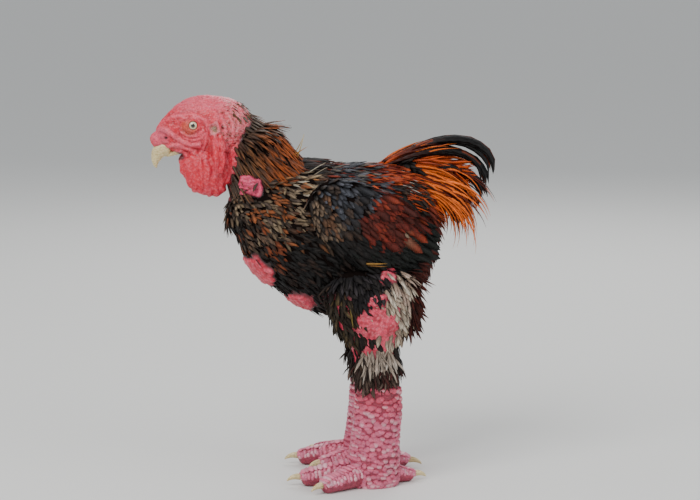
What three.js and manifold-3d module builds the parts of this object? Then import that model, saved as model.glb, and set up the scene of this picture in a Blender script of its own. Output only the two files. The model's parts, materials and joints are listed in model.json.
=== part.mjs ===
// A life-size standing Dong Tao rooster, a still display model.
// Millimetres, +Z up, the bird faces -X with its left side towards -Y.
// The origin is on the ground, under the middle of the bird's outline.
import * as THREE from "three";
import { mergeVertices } from "three/addons/utils/BufferGeometryUtils.js";
import Module from "manifold-3d";

const wasm = await Module();
wasm.setup();

// Driving dimensions
const GAP = 0.3; // left between pieces that touch
const LEG_Y = 56; // each leg's distance from the midline
const HOCK_Z = 140; // height of the hock joint
const SHANK_X = 69; // middle of the shank, front to back
const EYE = { x: -174, y: 26.5, z: 474, radius: 6.6 };
const SKULL_WIDTH = 62;
const BODY_WIDTH = 172;
const TAIL_REACH = 230; // the sickle's furthest point behind the origin

const X = new THREE.Vector3(1, 0, 0);
const Y = new THREE.Vector3(0, 1, 0);
const Z = new THREE.Vector3(0, 0, 1);
const at = (x, y, z) => new THREE.Vector3(x, y, z);

// A closed geometry as a solid that can be joined and cut.
function solidOf(geometry) {
  const bare = geometry.clone();
  bare.deleteAttribute("normal");
  bare.deleteAttribute("uv");
  const merged = mergeVertices(bare, 1e-4);
  const mesh = new wasm.Mesh({
    numProp: 3,
    vertProperties: merged.attributes.position.array,
    triVerts: new Uint32Array(merged.index.array),
  });
  return new wasm.Manifold(mesh);
}

// A fleshy form: elliptical sections along a smooth path, with a round cap at each end.
// The closer `even` is to 1, the more evenly its rings are spaced; `swell` raises the skin by a share of its radius.
// A station is [x, y, z, half height, half width, half height below]; the half width runs along `sideways`.
// Left out, the last is the same as the half height above.
class Form {
  constructor({ stations, sideways = Y, caps = [0.2, 0.2], sides = 20, rings = 14, even = 0.5, swell = () => 0 }) {
    const curve = (points) => new THREE.CatmullRomCurve3(points, false, "catmullrom", 0.5);
    this.path = curve(stations.map(([x, y, z]) => at(x, y, z)));
    this.radii = curve(stations.map(([, , , high, wide, low = high]) => at(high, wide, low)));
    Object.assign(this, { sideways, caps, sides, rings, even, swell });
  }

  // The point on the skin at share t of the path and an angle round it: 0 is sideways, a quarter turn is up.
  skin(t, angle) {
    const middle = this.path.getPoint(t);
    const along = this.path.getTangent(t);
    const side = this.sideways.clone().addScaledVector(along, -this.sideways.dot(along)).normalize();
    const up = along.clone().cross(side);
    const radii = this.radii.getPoint(t);
    const [first, last] = this.caps;
    const toEnd = Math.max(0, 1 - t / first, 1 - (1 - t) / last);
    const cap = Math.sqrt(Math.max(0, 1 - toEnd * toEnd)) * (1 + this.swell(t, angle));
    const high = Math.sin(angle) > 0 ? radii.x : radii.z;
    return middle
      .addScaledVector(up, high * cap * Math.sin(angle))
      .addScaledVector(side, radii.y * cap * Math.cos(angle));
  }

  // The outward direction of the skin there.
  facing(t, angle) {
    const step = 1e-3;
    if (t < step) return this.path.getTangent(0).negate();
    if (t > 1 - step) return this.path.getTangent(1);
    const round = this.skin(t, angle + step).sub(this.skin(t, angle - step));
    const along = this.skin(Math.min(1, t + step), angle).sub(this.skin(t - step, angle));
    return round.cross(along).normalize();
  }

  solid(grow = 0) {
    const geometry = new THREE.SphereGeometry(1, this.sides, this.rings);
    const position = geometry.attributes.position;
    for (let ring = 0, i = 0; ring <= this.rings; ring++) {
      const share = ring / this.rings;
      const t = THREE.MathUtils.lerp((1 - Math.cos(Math.PI * share)) / 2, share, this.even);
      for (let side = 0; side <= this.sides; side++, i++) {
        const angle = (-2 * Math.PI * side) / this.sides;
        const point = this.skin(t, angle);
        if (grow) point.addScaledVector(this.facing(t, angle), grow);
        position.setXYZ(i, point.x, point.y, point.z);
      }
    }
    return solidOf(geometry);
  }
}

// Several forms that make one piece.
const joined = (forms, grow = 0) => wasm.Manifold.union(forms.map((form) => form.solid(grow)));

// A round form: an ellipsoid with its half sizes, turned about Y by `tilt` degrees.
function ball(x, y, z, halfX, halfY, halfZ, { tilt = 0, sides = 12, rings = 8 } = {}) {
  const along = X.clone().applyAxisAngle(Y, THREE.MathUtils.degToRad(tilt));
  const ends = [-1, -0.5, 0, 0.5, 1].map((share) => {
    const p = at(x, y, z).addScaledVector(along, share * halfX);
    return [p.x, p.y, p.z, halfZ, halfY];
  });
  return new Form({ stations: ends, caps: [0.5, 0.5], sides, rings });
}

// Seeded random numbers from 0 to 1, so that each run gives the same bird.
function dice(seed) {
  let state = seed;
  return () => {
    state = (state * 1664525 + 1013904223) % 4294967296;
    return state / 4294967296;
  };
}
const between = (roll, low, high) => low + (high - low) * roll();

// How wide a feather is at share s of its length
const POINTED = (s) => Math.min(1, 0.5 + 2 * s) * Math.min(1, 1.75 * (1 - s) + 0.1);
const ROUNDED = (s) => Math.min(1, 0.55 + 1.8 * s) * Math.sqrt(1.12 - Math.pow(s, 5));

// One feather: a thin blade from its root, `out` being the way its face looks.
// It bends by `bend` degrees in all towards `fall`, more towards the tip the higher `late` is.
function vane({ root, along, out, fall, bend, late = 1, length, width, thick = 1.2, steps = 3, outline = POINTED, grow = 0 }) {
  const way = along.clone().normalize();
  const face = out.clone().addScaledVector(way, -out.dot(way)).normalize();
  const axis = way.clone().cross(fall);
  const whole = axis.lengthSq() > 1e-6 ? THREE.MathUtils.degToRad(bend) : 0;
  axis.normalize();
  const middle = root.clone();
  const points = [];
  for (let step = 0; step <= steps; step++) {
    const s = step / steps;
    if (step === steps) middle.addScaledVector(way, grow);
    const across = way.clone().cross(face).multiplyScalar((width / 2) * outline(s) + grow);
    const lift = face.clone().multiplyScalar((thick / 2) * (1 - 0.45 * s) + grow);
    for (const [a, b] of [[-1, 1], [1, 1], [1, -1], [-1, -1]]) {
      points.push(middle.clone().addScaledVector(across, a).addScaledVector(lift, b));
    }
    const turn = whole * (Math.pow((step + 1) / steps, late) - Math.pow(step / steps, late));
    way.applyAxisAngle(axis, turn);
    face.applyAxisAngle(axis, turn);
    middle.addScaledVector(way, length / steps);
  }
  const index = [];
  for (let step = 0; step < steps; step++) {
    for (let corner = 0; corner < 4; corner++) {
      const [a, b] = [4 * step + corner, 4 * step + ((corner + 1) % 4)];
      // the top and bottom faces are split along the same diagonal
      if (corner === 2) index.push(a, b, a + 4, b, b + 4, a + 4);
      else index.push(a, b, b + 4, a, b + 4, a + 4);
    }
  }
  const last = 4 * steps;
  index.push(0, 2, 1, 0, 3, 2, last, last + 1, last + 2, last, last + 2, last + 3);
  const geometry = new THREE.BufferGeometry().setFromPoints(points);
  geometry.setIndex(index);
  return solidOf(geometry);
}

// A low knob on a form's skin: a bulb flattened along the way the skin faces, and stretched round it.
function knob(form, t, angle, radius, { stand = 0.4, stretch = 1, sunk = 0.2, spin = 0, grow = 0 } = {}) {
  const out = form.facing(t, angle);
  const geometry = new THREE.IcosahedronGeometry(radius + grow, 0).rotateZ(spin);
  const along = form.path.getTangent(t);
  const across = out.clone().cross(along).normalize();
  geometry.scale(stretch, 1, stand + sunk + grow / radius);
  geometry.applyMatrix4(new THREE.Matrix4().makeBasis(across, out.clone().cross(across), out));
  const middle = form.skin(t, angle).addScaledVector(out, -radius * sunk);
  return solidOf(geometry.translate(middle.x, middle.y, middle.z));
}

// A fleshy ring round a point of the head, looking out along `out`.
function ring(middle, out, radius, tube, grow = 0) {
  const geometry = new THREE.TorusGeometry(radius, tube + grow, 4, 9);
  geometry.applyQuaternion(new THREE.Quaternion().setFromUnitVectors(Z, out.clone().normalize()));
  return solidOf(geometry.translate(middle.x, middle.y, middle.z));
}

// The place on a form's left side that is seen at (x, z): its share of the path and its angle.
function place(form, x, z) {
  let best = { miss: Infinity };
  for (let t = 0.02; t < 0.99; t += 0.01) {
    for (let angle = Math.PI / 2; angle < 1.5 * Math.PI; angle += 0.06) {
      const p = form.skin(t, angle);
      const miss = Math.hypot(p.x - x, p.z - z);
      if (miss < best.miss) best = { miss, t, angle };
    }
  }
  return best;
}

// A fold of skin that runs over a form's left side through the given places, each [x, z, half size].
function fold(form, places, grow = 0) {
  const stations = places.map(([x, z, size]) => {
    const { t, angle } = place(form, x, z);
    const p = form.skin(t, angle);
    return [p.x, p.y, p.z, size, size];
  });
  return new Form({ stations, caps: [0.2, 0.2], sides: 5, rings: 5 }).solid(grow);
}

// A feather on a form's skin that lies the way `lie` points and lifts from it by the share `lift`.
function feather(form, t, angle, lie, { lift = 0.3, sunk = 3, ...sizes }) {
  const out = form.facing(t, angle);
  const along = lie.clone().addScaledVector(out, -lie.dot(out)).normalize().addScaledVector(out, lift).normalize();
  const root = form.skin(t, angle).addScaledVector(along, -sunk / lift).addScaledVector(out, -0.5);
  return vane({ root, along, out, fall: out.clone().negate(), bend: 0, ...sizes });
}

// The same form on the bird's other side.
function otherSide(solid) {
  const { vertProperties, triVerts, numProp } = solid.getMesh();
  const points = Float32Array.from(vertProperties, (value, i) => (i % numProp === 1 ? -value : value));
  const turned = new Uint32Array(triVerts.length);
  for (let i = 0; i < triVerts.length; i += 3) turned.set([triVerts[i], triVerts[i + 2], triVerts[i + 1]], i);
  return new wasm.Manifold(new wasm.Mesh({ numProp, vertProperties: points, triVerts: turned }));
}

// Torso, out to the tips of its small feathers
const torso = new Form({
  stations: [
    [-138, 0, 348, 24, 22, 8],
    [-125, 0, 348, 40, 38, 22],
    [-112, 0, 348, 52, 50, 50],
    [-92, 0, 348, 64, 64, 78],
    [-62, 0, 348, 75, 80, 101],
    [-20, 0, 348, 80, BODY_WIDTH / 2, 127],
    [38, 0, 348, 80, 84, 138],
    [84, 0, 348, 78, 74, 126],
    [120, 0, 348, 66, 58, 94],
    [156, 0, 348, 38, 34, 58],
  ],
  caps: [0.05, 0.07],
  sides: 20,
  rings: 13,
});

// Neck, under its hackle
const neck = new Form({
  stations: [
    [-48, 0, 370, 62, 54],
    [-76, 0, 406, 56, 46],
    [-97, 0, 440, 50, 38],
    [-114, 0, 468, 40, 30],
  ],
  caps: [0.1, 0.2],
  sides: 18,
  rings: 9,
});

// Head
const skull = new Form({
  stations: [
    [-221, 0, 452, 11, 9],
    [-202, 0, 462, 28, 18],
    [-176, 0, 469, 39, 26],
    [-148, 0, 471, 42, SKULL_WIDTH / 2],
    [-118, 0, 464, 40, 32],
    [-94, 0, 454, 32, 28],
  ],
  caps: [0.12, 0.3],
  sides: 16,
  rings: 11,
});
const eye = ball(EYE.x, -EYE.y, EYE.z, EYE.radius, EYE.radius, EYE.radius, { sides: 10, rings: 7 });

// Comb: a low cushion of knobs on the forehead, down to the beak
const COMB_KNOBS = [
  [-214, 0, 452, 11],
  [-203, 0, 468, 11],
  [-193, 0, 484, 10],
  [-210, -6, 462, 8],
  [-199, -7, 476, 8],
  [-210, 6, 462, 8],
  [-199, 7, 476, 8],
];
const comb = COMB_KNOBS.map(([x, y, z, size]) => ball(x, y, z, size, size * 0.85, size * 0.9, { sides: 8, rings: 6 }));

// Beak
const beakUpper = new Form({
  stations: [
    [-208, 0, 446, 9, 9],
    [-220, 0, 441, 9, 8],
    [-224, 0, 431, 6.5, 5.5],
    [-222, 0, 420, 2, 2],
  ],
  caps: [0.2, 0.1],
  sides: 10,
  rings: 7,
});
const beakLower = new Form({
  stations: [
    [-196, 0, 437, 5, 9],
    [-208, 0, 434, 4.5, 7.5],
    [-216, 0, 430, 2.5, 4.5],
  ],
  caps: [0.2, 0.3],
  sides: 10,
  rings: 6,
});

// Wattle, in two lobes with upright folds, and ear lobe, on the left
const WATTLE_FOLDS = 6;
const folds = (t, angle) => 0.1 * Math.cos(WATTLE_FOLDS * angle) * Math.sin(Math.PI * t);
const wattle = [
  new Form({
    stations: [
      [-184, -9, 436, 12, 6],
      [-180, -13, 423, 14, 8],
      [-177, -14, 411, 13, 8],
      [-175, -13, 402, 8, 5],
    ],
    caps: [0.15, 0.3],
    sides: 14,
    rings: 7,
  }),
  new Form({
    stations: [
      [-172, -14, 440, 16, 7],
      [-166, -18, 422, 24, 10],
      [-158, -19, 402, 27, 11],
      [-151, -17, 385, 22, 9],
      [-147, -15, 375, 12, 6],
    ],
    caps: [0.15, 0.2],
    sides: 18,
    rings: 6,
    swell: folds,
  }),
];
const earLobe = new Form({
  stations: [
    [-146, -29, 468, 6, 5],
    [-143, -33, 450, 6.5, 5],
    [-141, -34, 430, 6.5, 4.5],
    [-139, -33, 411, 5.5, 4],
  ],
  caps: [0.15, 0.2],
  sides: 8,
  rings: 8,
});

// Wing, folded against the left side
const wing = new Form({
  stations: [
    [-28, -72, 385, 26, 12],
    [10, -82, 372, 44, 13],
    [60, -82, 346, 54, 13],
    [100, -70, 322, 42, 11],
    [128, -56, 302, 20, 8],
  ],
  caps: [0.2, 0.25],
  sides: 14,
  rings: 8,
});

// Tail, under its feathers
const tail = new Form({
  stations: [
    [96, 0, 392, 30, 24],
    [122, 0, 404, 32, 20],
    [146, 0, 407, 26, 13],
    [168, 0, 402, 16, 6],
  ],
  caps: [0.15, 0.15],
  sides: 12,
  rings: 6,
});

// Leg, on the left: thigh with its feathers down to the hock, and shank
const thigh = new Form({
  stations: [
    [54, -44, 300, 62, 34],
    [58, -56, 262, 64, 36],
    [61, -58, 222, 58, 32],
    [64, -57, 186, 38, 28],
    [66, -56, 156, 37, 28],
    [69, -56, 124, 30, 24],
  ],
  caps: [0.15, 0.16],
  sides: 14,
  rings: 10,
});
// The shank's skin: rounded knobs round its back and sides, wide scutes down its front
const KNOB_ROWS = 9;
const KNOBS_ROUND = 6;
const SCUTE_SPREAD = 40; // degrees to each side of the front
function shankKnobs(t, angle) {
  const row = Math.round(t * KNOB_ROWS);
  const alongRow = 0.5 + 0.5 * Math.cos(2 * Math.PI * t * KNOB_ROWS);
  const roundRow = 0.5 + 0.5 * Math.cos(KNOBS_ROUND * angle + Math.PI * (row % 2));
  const fromFront = Math.abs(Math.atan2(Math.cos(angle), -Math.sin(angle)));
  const scute = fromFront < THREE.MathUtils.degToRad(SCUTE_SPREAD);
  return alongRow * (scute ? 0.09 : 0.17 * Math.sqrt(roundRow));
}
const shank = new Form({
  stations: [
    [SHANK_X + 1, -LEG_Y, HOCK_Z + 12, 28, 23],
    [SHANK_X, -LEG_Y, 105, 32, 25],
    [SHANK_X - 3, -LEG_Y, 70, 32, 25],
    [SHANK_X - 5, -LEG_Y, 40, 34, 27],
    [SHANK_X - 8, -LEG_Y, 10, 37, 31],
    [SHANK_X - 8, -LEG_Y, -8, 33, 29],
  ],
  caps: [0.1, 0.1],
  sides: 24,
  rings: 2 * KNOB_ROWS,
  even: 1,
  swell: shankKnobs,
});

// The four toes: which way each points, measured from straight ahead and outwards, and how far it reaches
const TOES = {
  inner: { turn: -26, from: 22, reach: 74, thick: 13.5 },
  middle: { turn: 3, from: 24, reach: 96, thick: 16 },
  outer: { turn: 37, from: 22, reach: 86, thick: 15 },
  hind: { turn: 196, from: 24, reach: 60, thick: 12.5 },
};
const CLAW_LENGTH = 15;
const TOE_SCUTES = 4;
const TOE_MIDDLE = at(SHANK_X - 8, -LEG_Y, 0);

function toe({ turn, from, reach, thick }) {
  const ahead = X.clone().negate().applyAxisAngle(Z, THREE.MathUtils.degToRad(turn));
  const across = ahead.clone().cross(Z);
  const stations = [0, 0.3, 0.6, 0.85, 1].map((share, i) => {
    const p = TOE_MIDDLE.clone().addScaledVector(ahead, THREE.MathUtils.lerp(from, reach, share));
    const size = thick * [1.15, 1.05, 0.9, 0.78, 0.62][i];
    return [p.x, p.y, size - 1.5, size, size];
  });
  const scutes = (t, angle) => (Math.sin(angle) > 0.1 ? 0.14 * (0.5 + 0.5 * Math.cos(2 * Math.PI * t * TOE_SCUTES)) : 0);
  return new Form({ stations, sideways: across, caps: [0.1, 0.16], sides: 8, rings: 2 * TOE_SCUTES, even: 1, swell: scutes });
}

function claw({ turn, reach, thick }) {
  const ahead = X.clone().negate().applyAxisAngle(Z, THREE.MathUtils.degToRad(turn));
  const across = ahead.clone().cross(Z);
  const top = thick * 0.75;
  const stations = [-0.25, 0.35, 0.75, 1].map((share, i) => {
    const p = TOE_MIDDLE.clone().addScaledVector(ahead, reach + share * CLAW_LENGTH);
    const size = [4.4, 3.8, 2.6, 1][i];
    return [p.x, p.y, [top, top + 0.5, top - 2, top - 5.5][i], size, size * 0.8];
  });
  return new Form({ stations, sideways: across, caps: [0.2, 0.1], sides: 6, rings: 4 });
}

// Raised forms. Each of these gives the solids for one node, grown by `grow`.
const radians = THREE.MathUtils.degToRad;

// Head, on the left: [x, z] as seen from the side, and a size
const EAR = { x: -143, z: 470, radius: 6.8, tube: 2.6 };
const EYELID_TUBE = 1.9;
const FACE_FOLDS = [
  [[-210, 452, 2.4], [-196, 449, 3], [-178, 452, 3], [-160, 458, 2.6], [-150, 462, 1.6]],
  [[-200, 478, 2], [-186, 486, 2.8], [-168, 487, 3], [-154, 480, 2]],
  [[-196, 440, 1.6], [-184, 440, 2.8], [-168, 442, 2.8], [-156, 448, 1.8]],
];
const FACE_BUMPS = 8;
function headForms(grow) {
  const roll = dice(3);
  const ear = place(skull, EAR.x, EAR.z);
  const forms = [
    ring(at(EYE.x, -EYE.y - 2.4, EYE.z), at(0.04, -1, 0.1), EYE.radius - 0.6, EYELID_TUBE, grow),
    ring(skull.skin(ear.t, ear.angle), skull.facing(ear.t, ear.angle), EAR.radius, EAR.tube, grow),
    ...FACE_FOLDS.map((places) => fold(skull, places, grow)),
  ];
  for (let bump = 0; bump < FACE_BUMPS; bump++) {
    const [x, z] = [between(roll, -206, -122), between(roll, 432, 500)];
    const radius = between(roll, 3.6, 5.2);
    const clearOfEye = Math.hypot(x - EYE.x, z - EYE.z) > 13;
    const clearOfEar = Math.hypot(x - EAR.x, z - EAR.z) > 13;
    const { miss, t, angle } = place(skull, x, z);
    if (miss < 1 && clearOfEye && clearOfEar) forms.push(knob(skull, t, angle, radius, { stand: 0.3, spin: x, grow }));
  }
  return forms;
}
// What is hollowed out of the head, on the left: the ear's cup, the nostril and the corner of the mouth
function headHollows() {
  const ear = place(skull, EAR.x, EAR.z);
  const cup = skull.skin(ear.t, ear.angle);
  const nostril = place(skull, -206, 457);
  const slit = skull.skin(nostril.t, nostril.angle);
  const mouth = place(skull, -197, 436);
  const corner = skull.skin(mouth.t, mouth.angle);
  return [
    ball(cup.x, cup.y, cup.z, 3.6, 3.2, 4.2, { sides: 6, rings: 5 }),
    ball(slit.x, slit.y, slit.z, 3.4, 2.2, 1.5, { tilt: 20, sides: 6, rings: 4 }),
    ball(corner.x, corner.y, corner.z, 9, 3, 1.3, { tilt: 8, sides: 6, rings: 4 }),
  ];
}

// Hackle: rows of narrow plumes from the nape to the shoulders, round the back of the neck
const HACKLE_ROWS = [
  { share: 0.86, count: 6, length: 38 },
  { share: 0.7, count: 7, length: 44 },
  { share: 0.54, count: 8, length: 50 },
  { share: 0.38, count: 9, length: 54 },
  { share: 0.22, count: 7, length: 52 },
];
const HACKLE_SPREAD = 112; // degrees to each side of the nape
function hackle(grow) {
  const roll = dice(11);
  return HACKLE_ROWS.flatMap(({ share, count, length }, row) =>
    Array.from({ length: count }, (_, i) => {
      const turn = ((i + (row % 2) / 2) / (count - 0.5) - 0.5) * 2 * HACKLE_SPREAD - 90;
      const t = share + between(roll, -0.03, 0.03);
      return feather(neck, t, radians(turn + between(roll, -3, 3)), neck.path.getTangent(t).negate(), {
        length: length * between(roll, 0.85, 1.15),
        width: between(roll, 10, 13),
        lift: between(roll, 0.16, 0.3),
        bend: 8,
        steps: 2,
        grow,
      });
    }),
  );
}

// Wing feathers in tiers, from the shoulder's small coverts to the flight feathers
const WING_TIERS = [
  { share: 0.24, count: 3, length: 32, width: 24, lie: at(0.72, 0, -0.69) },
  { share: 0.4, count: 4, length: 36, width: 22, lie: at(0.74, 0, -0.67) },
  { share: 0.56, count: 4, length: 44, width: 19, lie: at(0.78, 0, -0.62) },
  { share: 0.7, count: 4, length: 48, width: 15, lie: at(0.84, 0, -0.54) },
  { share: 0.82, count: 3, length: 50, width: 13, lie: at(0.88, 0, -0.47) },
];
function wingFeathers(grow) {
  const roll = dice(23);
  return WING_TIERS.flatMap(({ share, count, length, width, lie }) =>
    Array.from({ length: count }, (_, i) => {
      const turn = 112 + (136 * (i + 0.5)) / count + between(roll, -4, 4);
      return feather(wing, share + between(roll, -0.02, 0.02), radians(turn), lie, {
        length: length * between(roll, 0.9, 1.1),
        width: width * between(roll, 0.9, 1.1),
        lift: 0.13,
        bend: 6,
        sunk: 1.6,
        steps: 2,
        outline: ROUNDED,
        grow,
      });
    }),
  );
}

// Tail: sickles over the top, main feathers in a fan, saddle plumes that arch and fall on each side
const DOWN = Z.clone().negate();
const SICKLES = [
  { root: at(94, 3, 416), rise: 38, length: 190, bend: 128, late: 2.3, width: 16 },
  { root: at(98, 8, 410), rise: 30, length: 160, bend: 122, late: 2, width: 14 },
];
const MAIN_FEATHERS = 4;
const SADDLE_PLUMES = 9;
function tailFeathers(grow) {
  const roll = dice(31);
  const shapes = [];
  const add = (side, { root, rise, splay = 0, late = 1.7, ...sizes }) => {
    const along = at(Math.cos(radians(rise)), side * splay, Math.sin(radians(rise)));
    const out = at(0, side, 0.35);
    shapes.push(vane({ root: at(root.x, side * root.y, root.z), along, out, fall: DOWN, late, grow, ...sizes }));
  };
  for (const side of [-1, 1]) {
    for (const sickle of SICKLES) add(side, { ...sickle, thick: 1.8, steps: 5 });
    for (let i = 0; i < MAIN_FEATHERS; i++) {
      const share = i / (MAIN_FEATHERS - 1);
      const root = at(128, 4 + 1.5 * share, 412 - 22 * share);
      add(side, { root, rise: 22 - 60 * share, splay: 0.05, bend: 30, length: 84, width: 15, thick: 1.5, steps: 3 });
    }
    for (let i = 0; i < SADDLE_PLUMES; i++) {
      const share = i / (SADDLE_PLUMES - 1);
      add(side, {
        root: at(between(roll, 98, 122), 7 + 9 * share, 414 - 34 * share),
        rise: 36 - 30 * share + between(roll, -4, 4),
        splay: 0.06 + 0.24 * share,
        length: between(roll, 98, 128),
        bend: between(roll, 88, 112),
        late: 1.3,
        width: between(roll, 7, 9),
        steps: 4,
      });
    }
  }
  return shapes;
}

// Thigh feathers, and the tuft that hangs over the hock
const THIGH_ROWS = [
  { share: 0.5, count: 3, from: 90, to: 200, length: 36 },
  { share: 0.78, count: 7, from: 10, to: 330, length: 26 },
];
function thighFeathers(grow) {
  const roll = dice(41);
  return THIGH_ROWS.flatMap(({ share, count, from, to, length }) =>
    Array.from({ length: count }, (_, i) =>
      feather(thigh, share, radians(THREE.MathUtils.lerp(from, to, i / (count - 1)) + between(roll, -6, 6)), DOWN, {
        length: length * between(roll, 0.85, 1.15),
        width: between(roll, 13, 18),
        lift: between(roll, 0.12, 0.3),
        steps: 2,
        grow,
      }),
    ),
  );
}

// Joins and cuts. Each piece gives way by the gap to those named before it.
const union = (solids) => wasm.Manifold.union(solids);
const ground = solidOf(new THREE.BoxGeometry(900, 900, 60).translate(0, 0, -30));
const without = (solid, ...cutters) => (cutters.length ? solid.subtract(union(cutters)) : solid);
const largest = (solid) => solid.decompose().sort((a, b) => b.volume() - a.volume())[0];
const bothSides = (solids) => solids.flatMap((solid) => [solid, otherSide(solid)]);

const shapes = {
  torso: (grow) => torso.solid(grow),
  head: (grow) => union([skull.solid(grow), ...bothSides(headForms(grow))]),
  neck: (grow) => union([neck.solid(grow), ...hackle(grow)]),
  comb: (grow) => joined(comb, grow),
  tail: (grow) => union([tail.solid(grow), ...tailFeathers(grow)]),
  wattle: (grow) => joined(wattle, grow),
  wing: (grow) => union([wing.solid(grow), ...wingFeathers(grow)]),
  thigh: (grow) => union([thigh.solid(grow), ...thighFeathers(grow)]),
  shank: (grow) => shank.solid(grow),
};
const grown = Object.fromEntries(Object.entries(shapes).map(([name, shape]) => [name, shape(GAP)]));
const eyeGrown = eye.solid(GAP);
const earLobeGrown = earLobe.solid(GAP);
const beakGrown = beakUpper.solid(GAP);
const wings = bothSides([grown.wing]);
const hollows = bothSides([eyeGrown, ...headHollows().map((hollow) => hollow.solid())]);

const pieces = {
  torso: without(shapes.torso(0), ...bothSides([grown.thigh])),
  head: without(shapes.head(0), ...hollows),
  neck: without(shapes.neck(0), grown.torso, grown.head, ...wings),
  comb: without(shapes.comb(0), grown.head),
  beak_upper: without(beakUpper.solid(), grown.head, grown.comb),
  beak_lower: without(beakLower.solid(), grown.head, beakGrown),
  tail: without(shapes.tail(0), grown.torso, ...wings),
};

// Paired pieces, made on the left and then set on both sides, where the middle ones cut them.
const wattleCutters = [grown.head, grown.neck, grown.torso, beakGrown, beakLower.solid(GAP)];
const paired = {
  eye: { solid: eye.solid(), middle: [] },
  ear_lobe: { solid: earLobe.solid(), middle: [grown.head, grown.neck] },
  wattle: { solid: without(shapes.wattle(0), earLobeGrown), middle: wattleCutters },
  wing: { solid: without(shapes.wing(0), grown.thigh), middle: [grown.torso] },
  thigh: { solid: shapes.thigh(0), middle: [] },
  shank: { solid: without(shapes.shank(0), grown.thigh, ground), middle: [] },
};
const footCutters = [grown.shank, ground];
for (const [name, sizes] of Object.entries(TOES)) {
  const whole = toe(sizes);
  paired["toe_" + name] = { solid: without(whole.solid(), ...footCutters), middle: [] };
  footCutters.push(whole.solid(GAP));
  paired["claw_" + name] = { solid: without(claw(sizes).solid(), ...footCutters), middle: [] };
}
for (const [name, { solid, middle }] of Object.entries(paired)) {
  pieces[name + "_left"] = without(solid, ...middle);
  pieces[name + "_right"] = without(otherSide(solid), ...middle);
}

// Finishes
const finish = (color, roughness, metalness = 0) => new THREE.MeshStandardMaterial({ color, roughness, metalness });
const RED_SKIN = finish("#d23a4c", 0.6);
const LEG_SKIN = finish("#cf6f7c", 0.55);
const FEATHER = finish("#33231b", 0.7);
const HACKLE = finish("#8a4a22", 0.6);
const TAIL_FEATHER = finish("#b1501c", 0.55);
const HORN = finish("#cdb277", 0.4);
const EYE_GLOSS = finish("#d8cdb4", 0.1);
const FINISHES = {
  torso: FEATHER,
  head: RED_SKIN,
  neck: HACKLE,
  comb: RED_SKIN,
  beak: HORN,
  tail: TAIL_FEATHER,
  eye: EYE_GLOSS,
  ear: RED_SKIN,
  wattle: RED_SKIN,
  wing: FEATHER,
  thigh: FEATHER,
  shank: LEG_SKIN,
  toe: LEG_SKIN,
  claw: HORN,
};

const rooster = new THREE.Group();
for (const [name, solid] of Object.entries(pieces)) {
  const { vertProperties, triVerts } = largest(solid).getMesh();
  const geometry = new THREE.BufferGeometry();
  geometry.setAttribute("position", new THREE.BufferAttribute(vertProperties, 3));
  geometry.setIndex(new THREE.BufferAttribute(triVerts, 1));
  geometry.computeVertexNormals();
  const mesh = new THREE.Mesh(geometry, FINISHES[name.split("_")[0]]);
  mesh.name = name;
  rooster.add(mesh);
}

export default rooster;
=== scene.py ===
# %% [markdown]
# # A Dong Tao rooster, dressed in Blender
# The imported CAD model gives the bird's size, pose and pieces. This script lays one skin over its fleshy
# parts, and grows scales, feathers, lids, beak and claws on that skin. Every piece is in metres, in the
# same frame as the CAD: +Z up, the bird looks along -X, its left side is towards -Y.

# %% Load the frame
import json
import math
import bmesh
import bpy
import numpy as np
from mathutils import kdtree, Matrix, Vector
from mathutils.bvhtree import BVHTree

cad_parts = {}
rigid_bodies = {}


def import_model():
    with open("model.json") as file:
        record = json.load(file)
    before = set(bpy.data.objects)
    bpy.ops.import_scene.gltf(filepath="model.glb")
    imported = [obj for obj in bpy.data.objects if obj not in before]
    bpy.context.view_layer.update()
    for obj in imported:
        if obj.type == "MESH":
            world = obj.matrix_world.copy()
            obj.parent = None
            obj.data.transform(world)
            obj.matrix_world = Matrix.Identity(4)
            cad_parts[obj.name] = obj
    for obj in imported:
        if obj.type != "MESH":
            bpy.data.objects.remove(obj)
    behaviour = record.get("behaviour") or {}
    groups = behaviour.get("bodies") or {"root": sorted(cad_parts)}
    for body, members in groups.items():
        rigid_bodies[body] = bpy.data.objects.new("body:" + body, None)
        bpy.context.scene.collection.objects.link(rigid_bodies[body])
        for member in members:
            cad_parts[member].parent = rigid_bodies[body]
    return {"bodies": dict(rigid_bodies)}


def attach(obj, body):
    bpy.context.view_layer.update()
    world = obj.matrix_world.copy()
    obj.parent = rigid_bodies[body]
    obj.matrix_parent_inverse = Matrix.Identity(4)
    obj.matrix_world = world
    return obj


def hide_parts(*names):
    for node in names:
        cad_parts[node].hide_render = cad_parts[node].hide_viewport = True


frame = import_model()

BODY = next(iter(frame["bodies"]))
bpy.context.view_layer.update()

# %% [markdown]
# ## Camera, floor and light
# The photo looks at the bird's left side from a little above its back and slightly ahead of it. A long
# lens far away keeps the near and far foot about the same size. The floor and light are plain and pale.

# %% Camera
AZIMUTH = math.radians(-3)
ELEVATION = math.radians(8)
DISTANCE = 2.9
TARGET = Vector((0.035, 0, 0.306))
VIEW_WIDTH = 700 * 0.001333  # 700 pixels of 1.333 mm at the target

level = math.cos(ELEVATION)
away = Vector((math.sin(AZIMUTH) * level, -math.cos(AZIMUTH) * level, math.sin(ELEVATION)))
camera_data = bpy.data.cameras.new("camera")
camera_data.lens = camera_data.sensor_width * DISTANCE / VIEW_WIDTH
camera = bpy.data.objects.new("camera", camera_data)
camera.location = TARGET + away * DISTANCE
camera.rotation_euler = away.to_track_quat("Z", "Y").to_euler()
bpy.context.collection.objects.link(camera)
bpy.context.scene.camera = camera
print("lens", round(camera_data.lens, 1), "mm")


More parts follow.
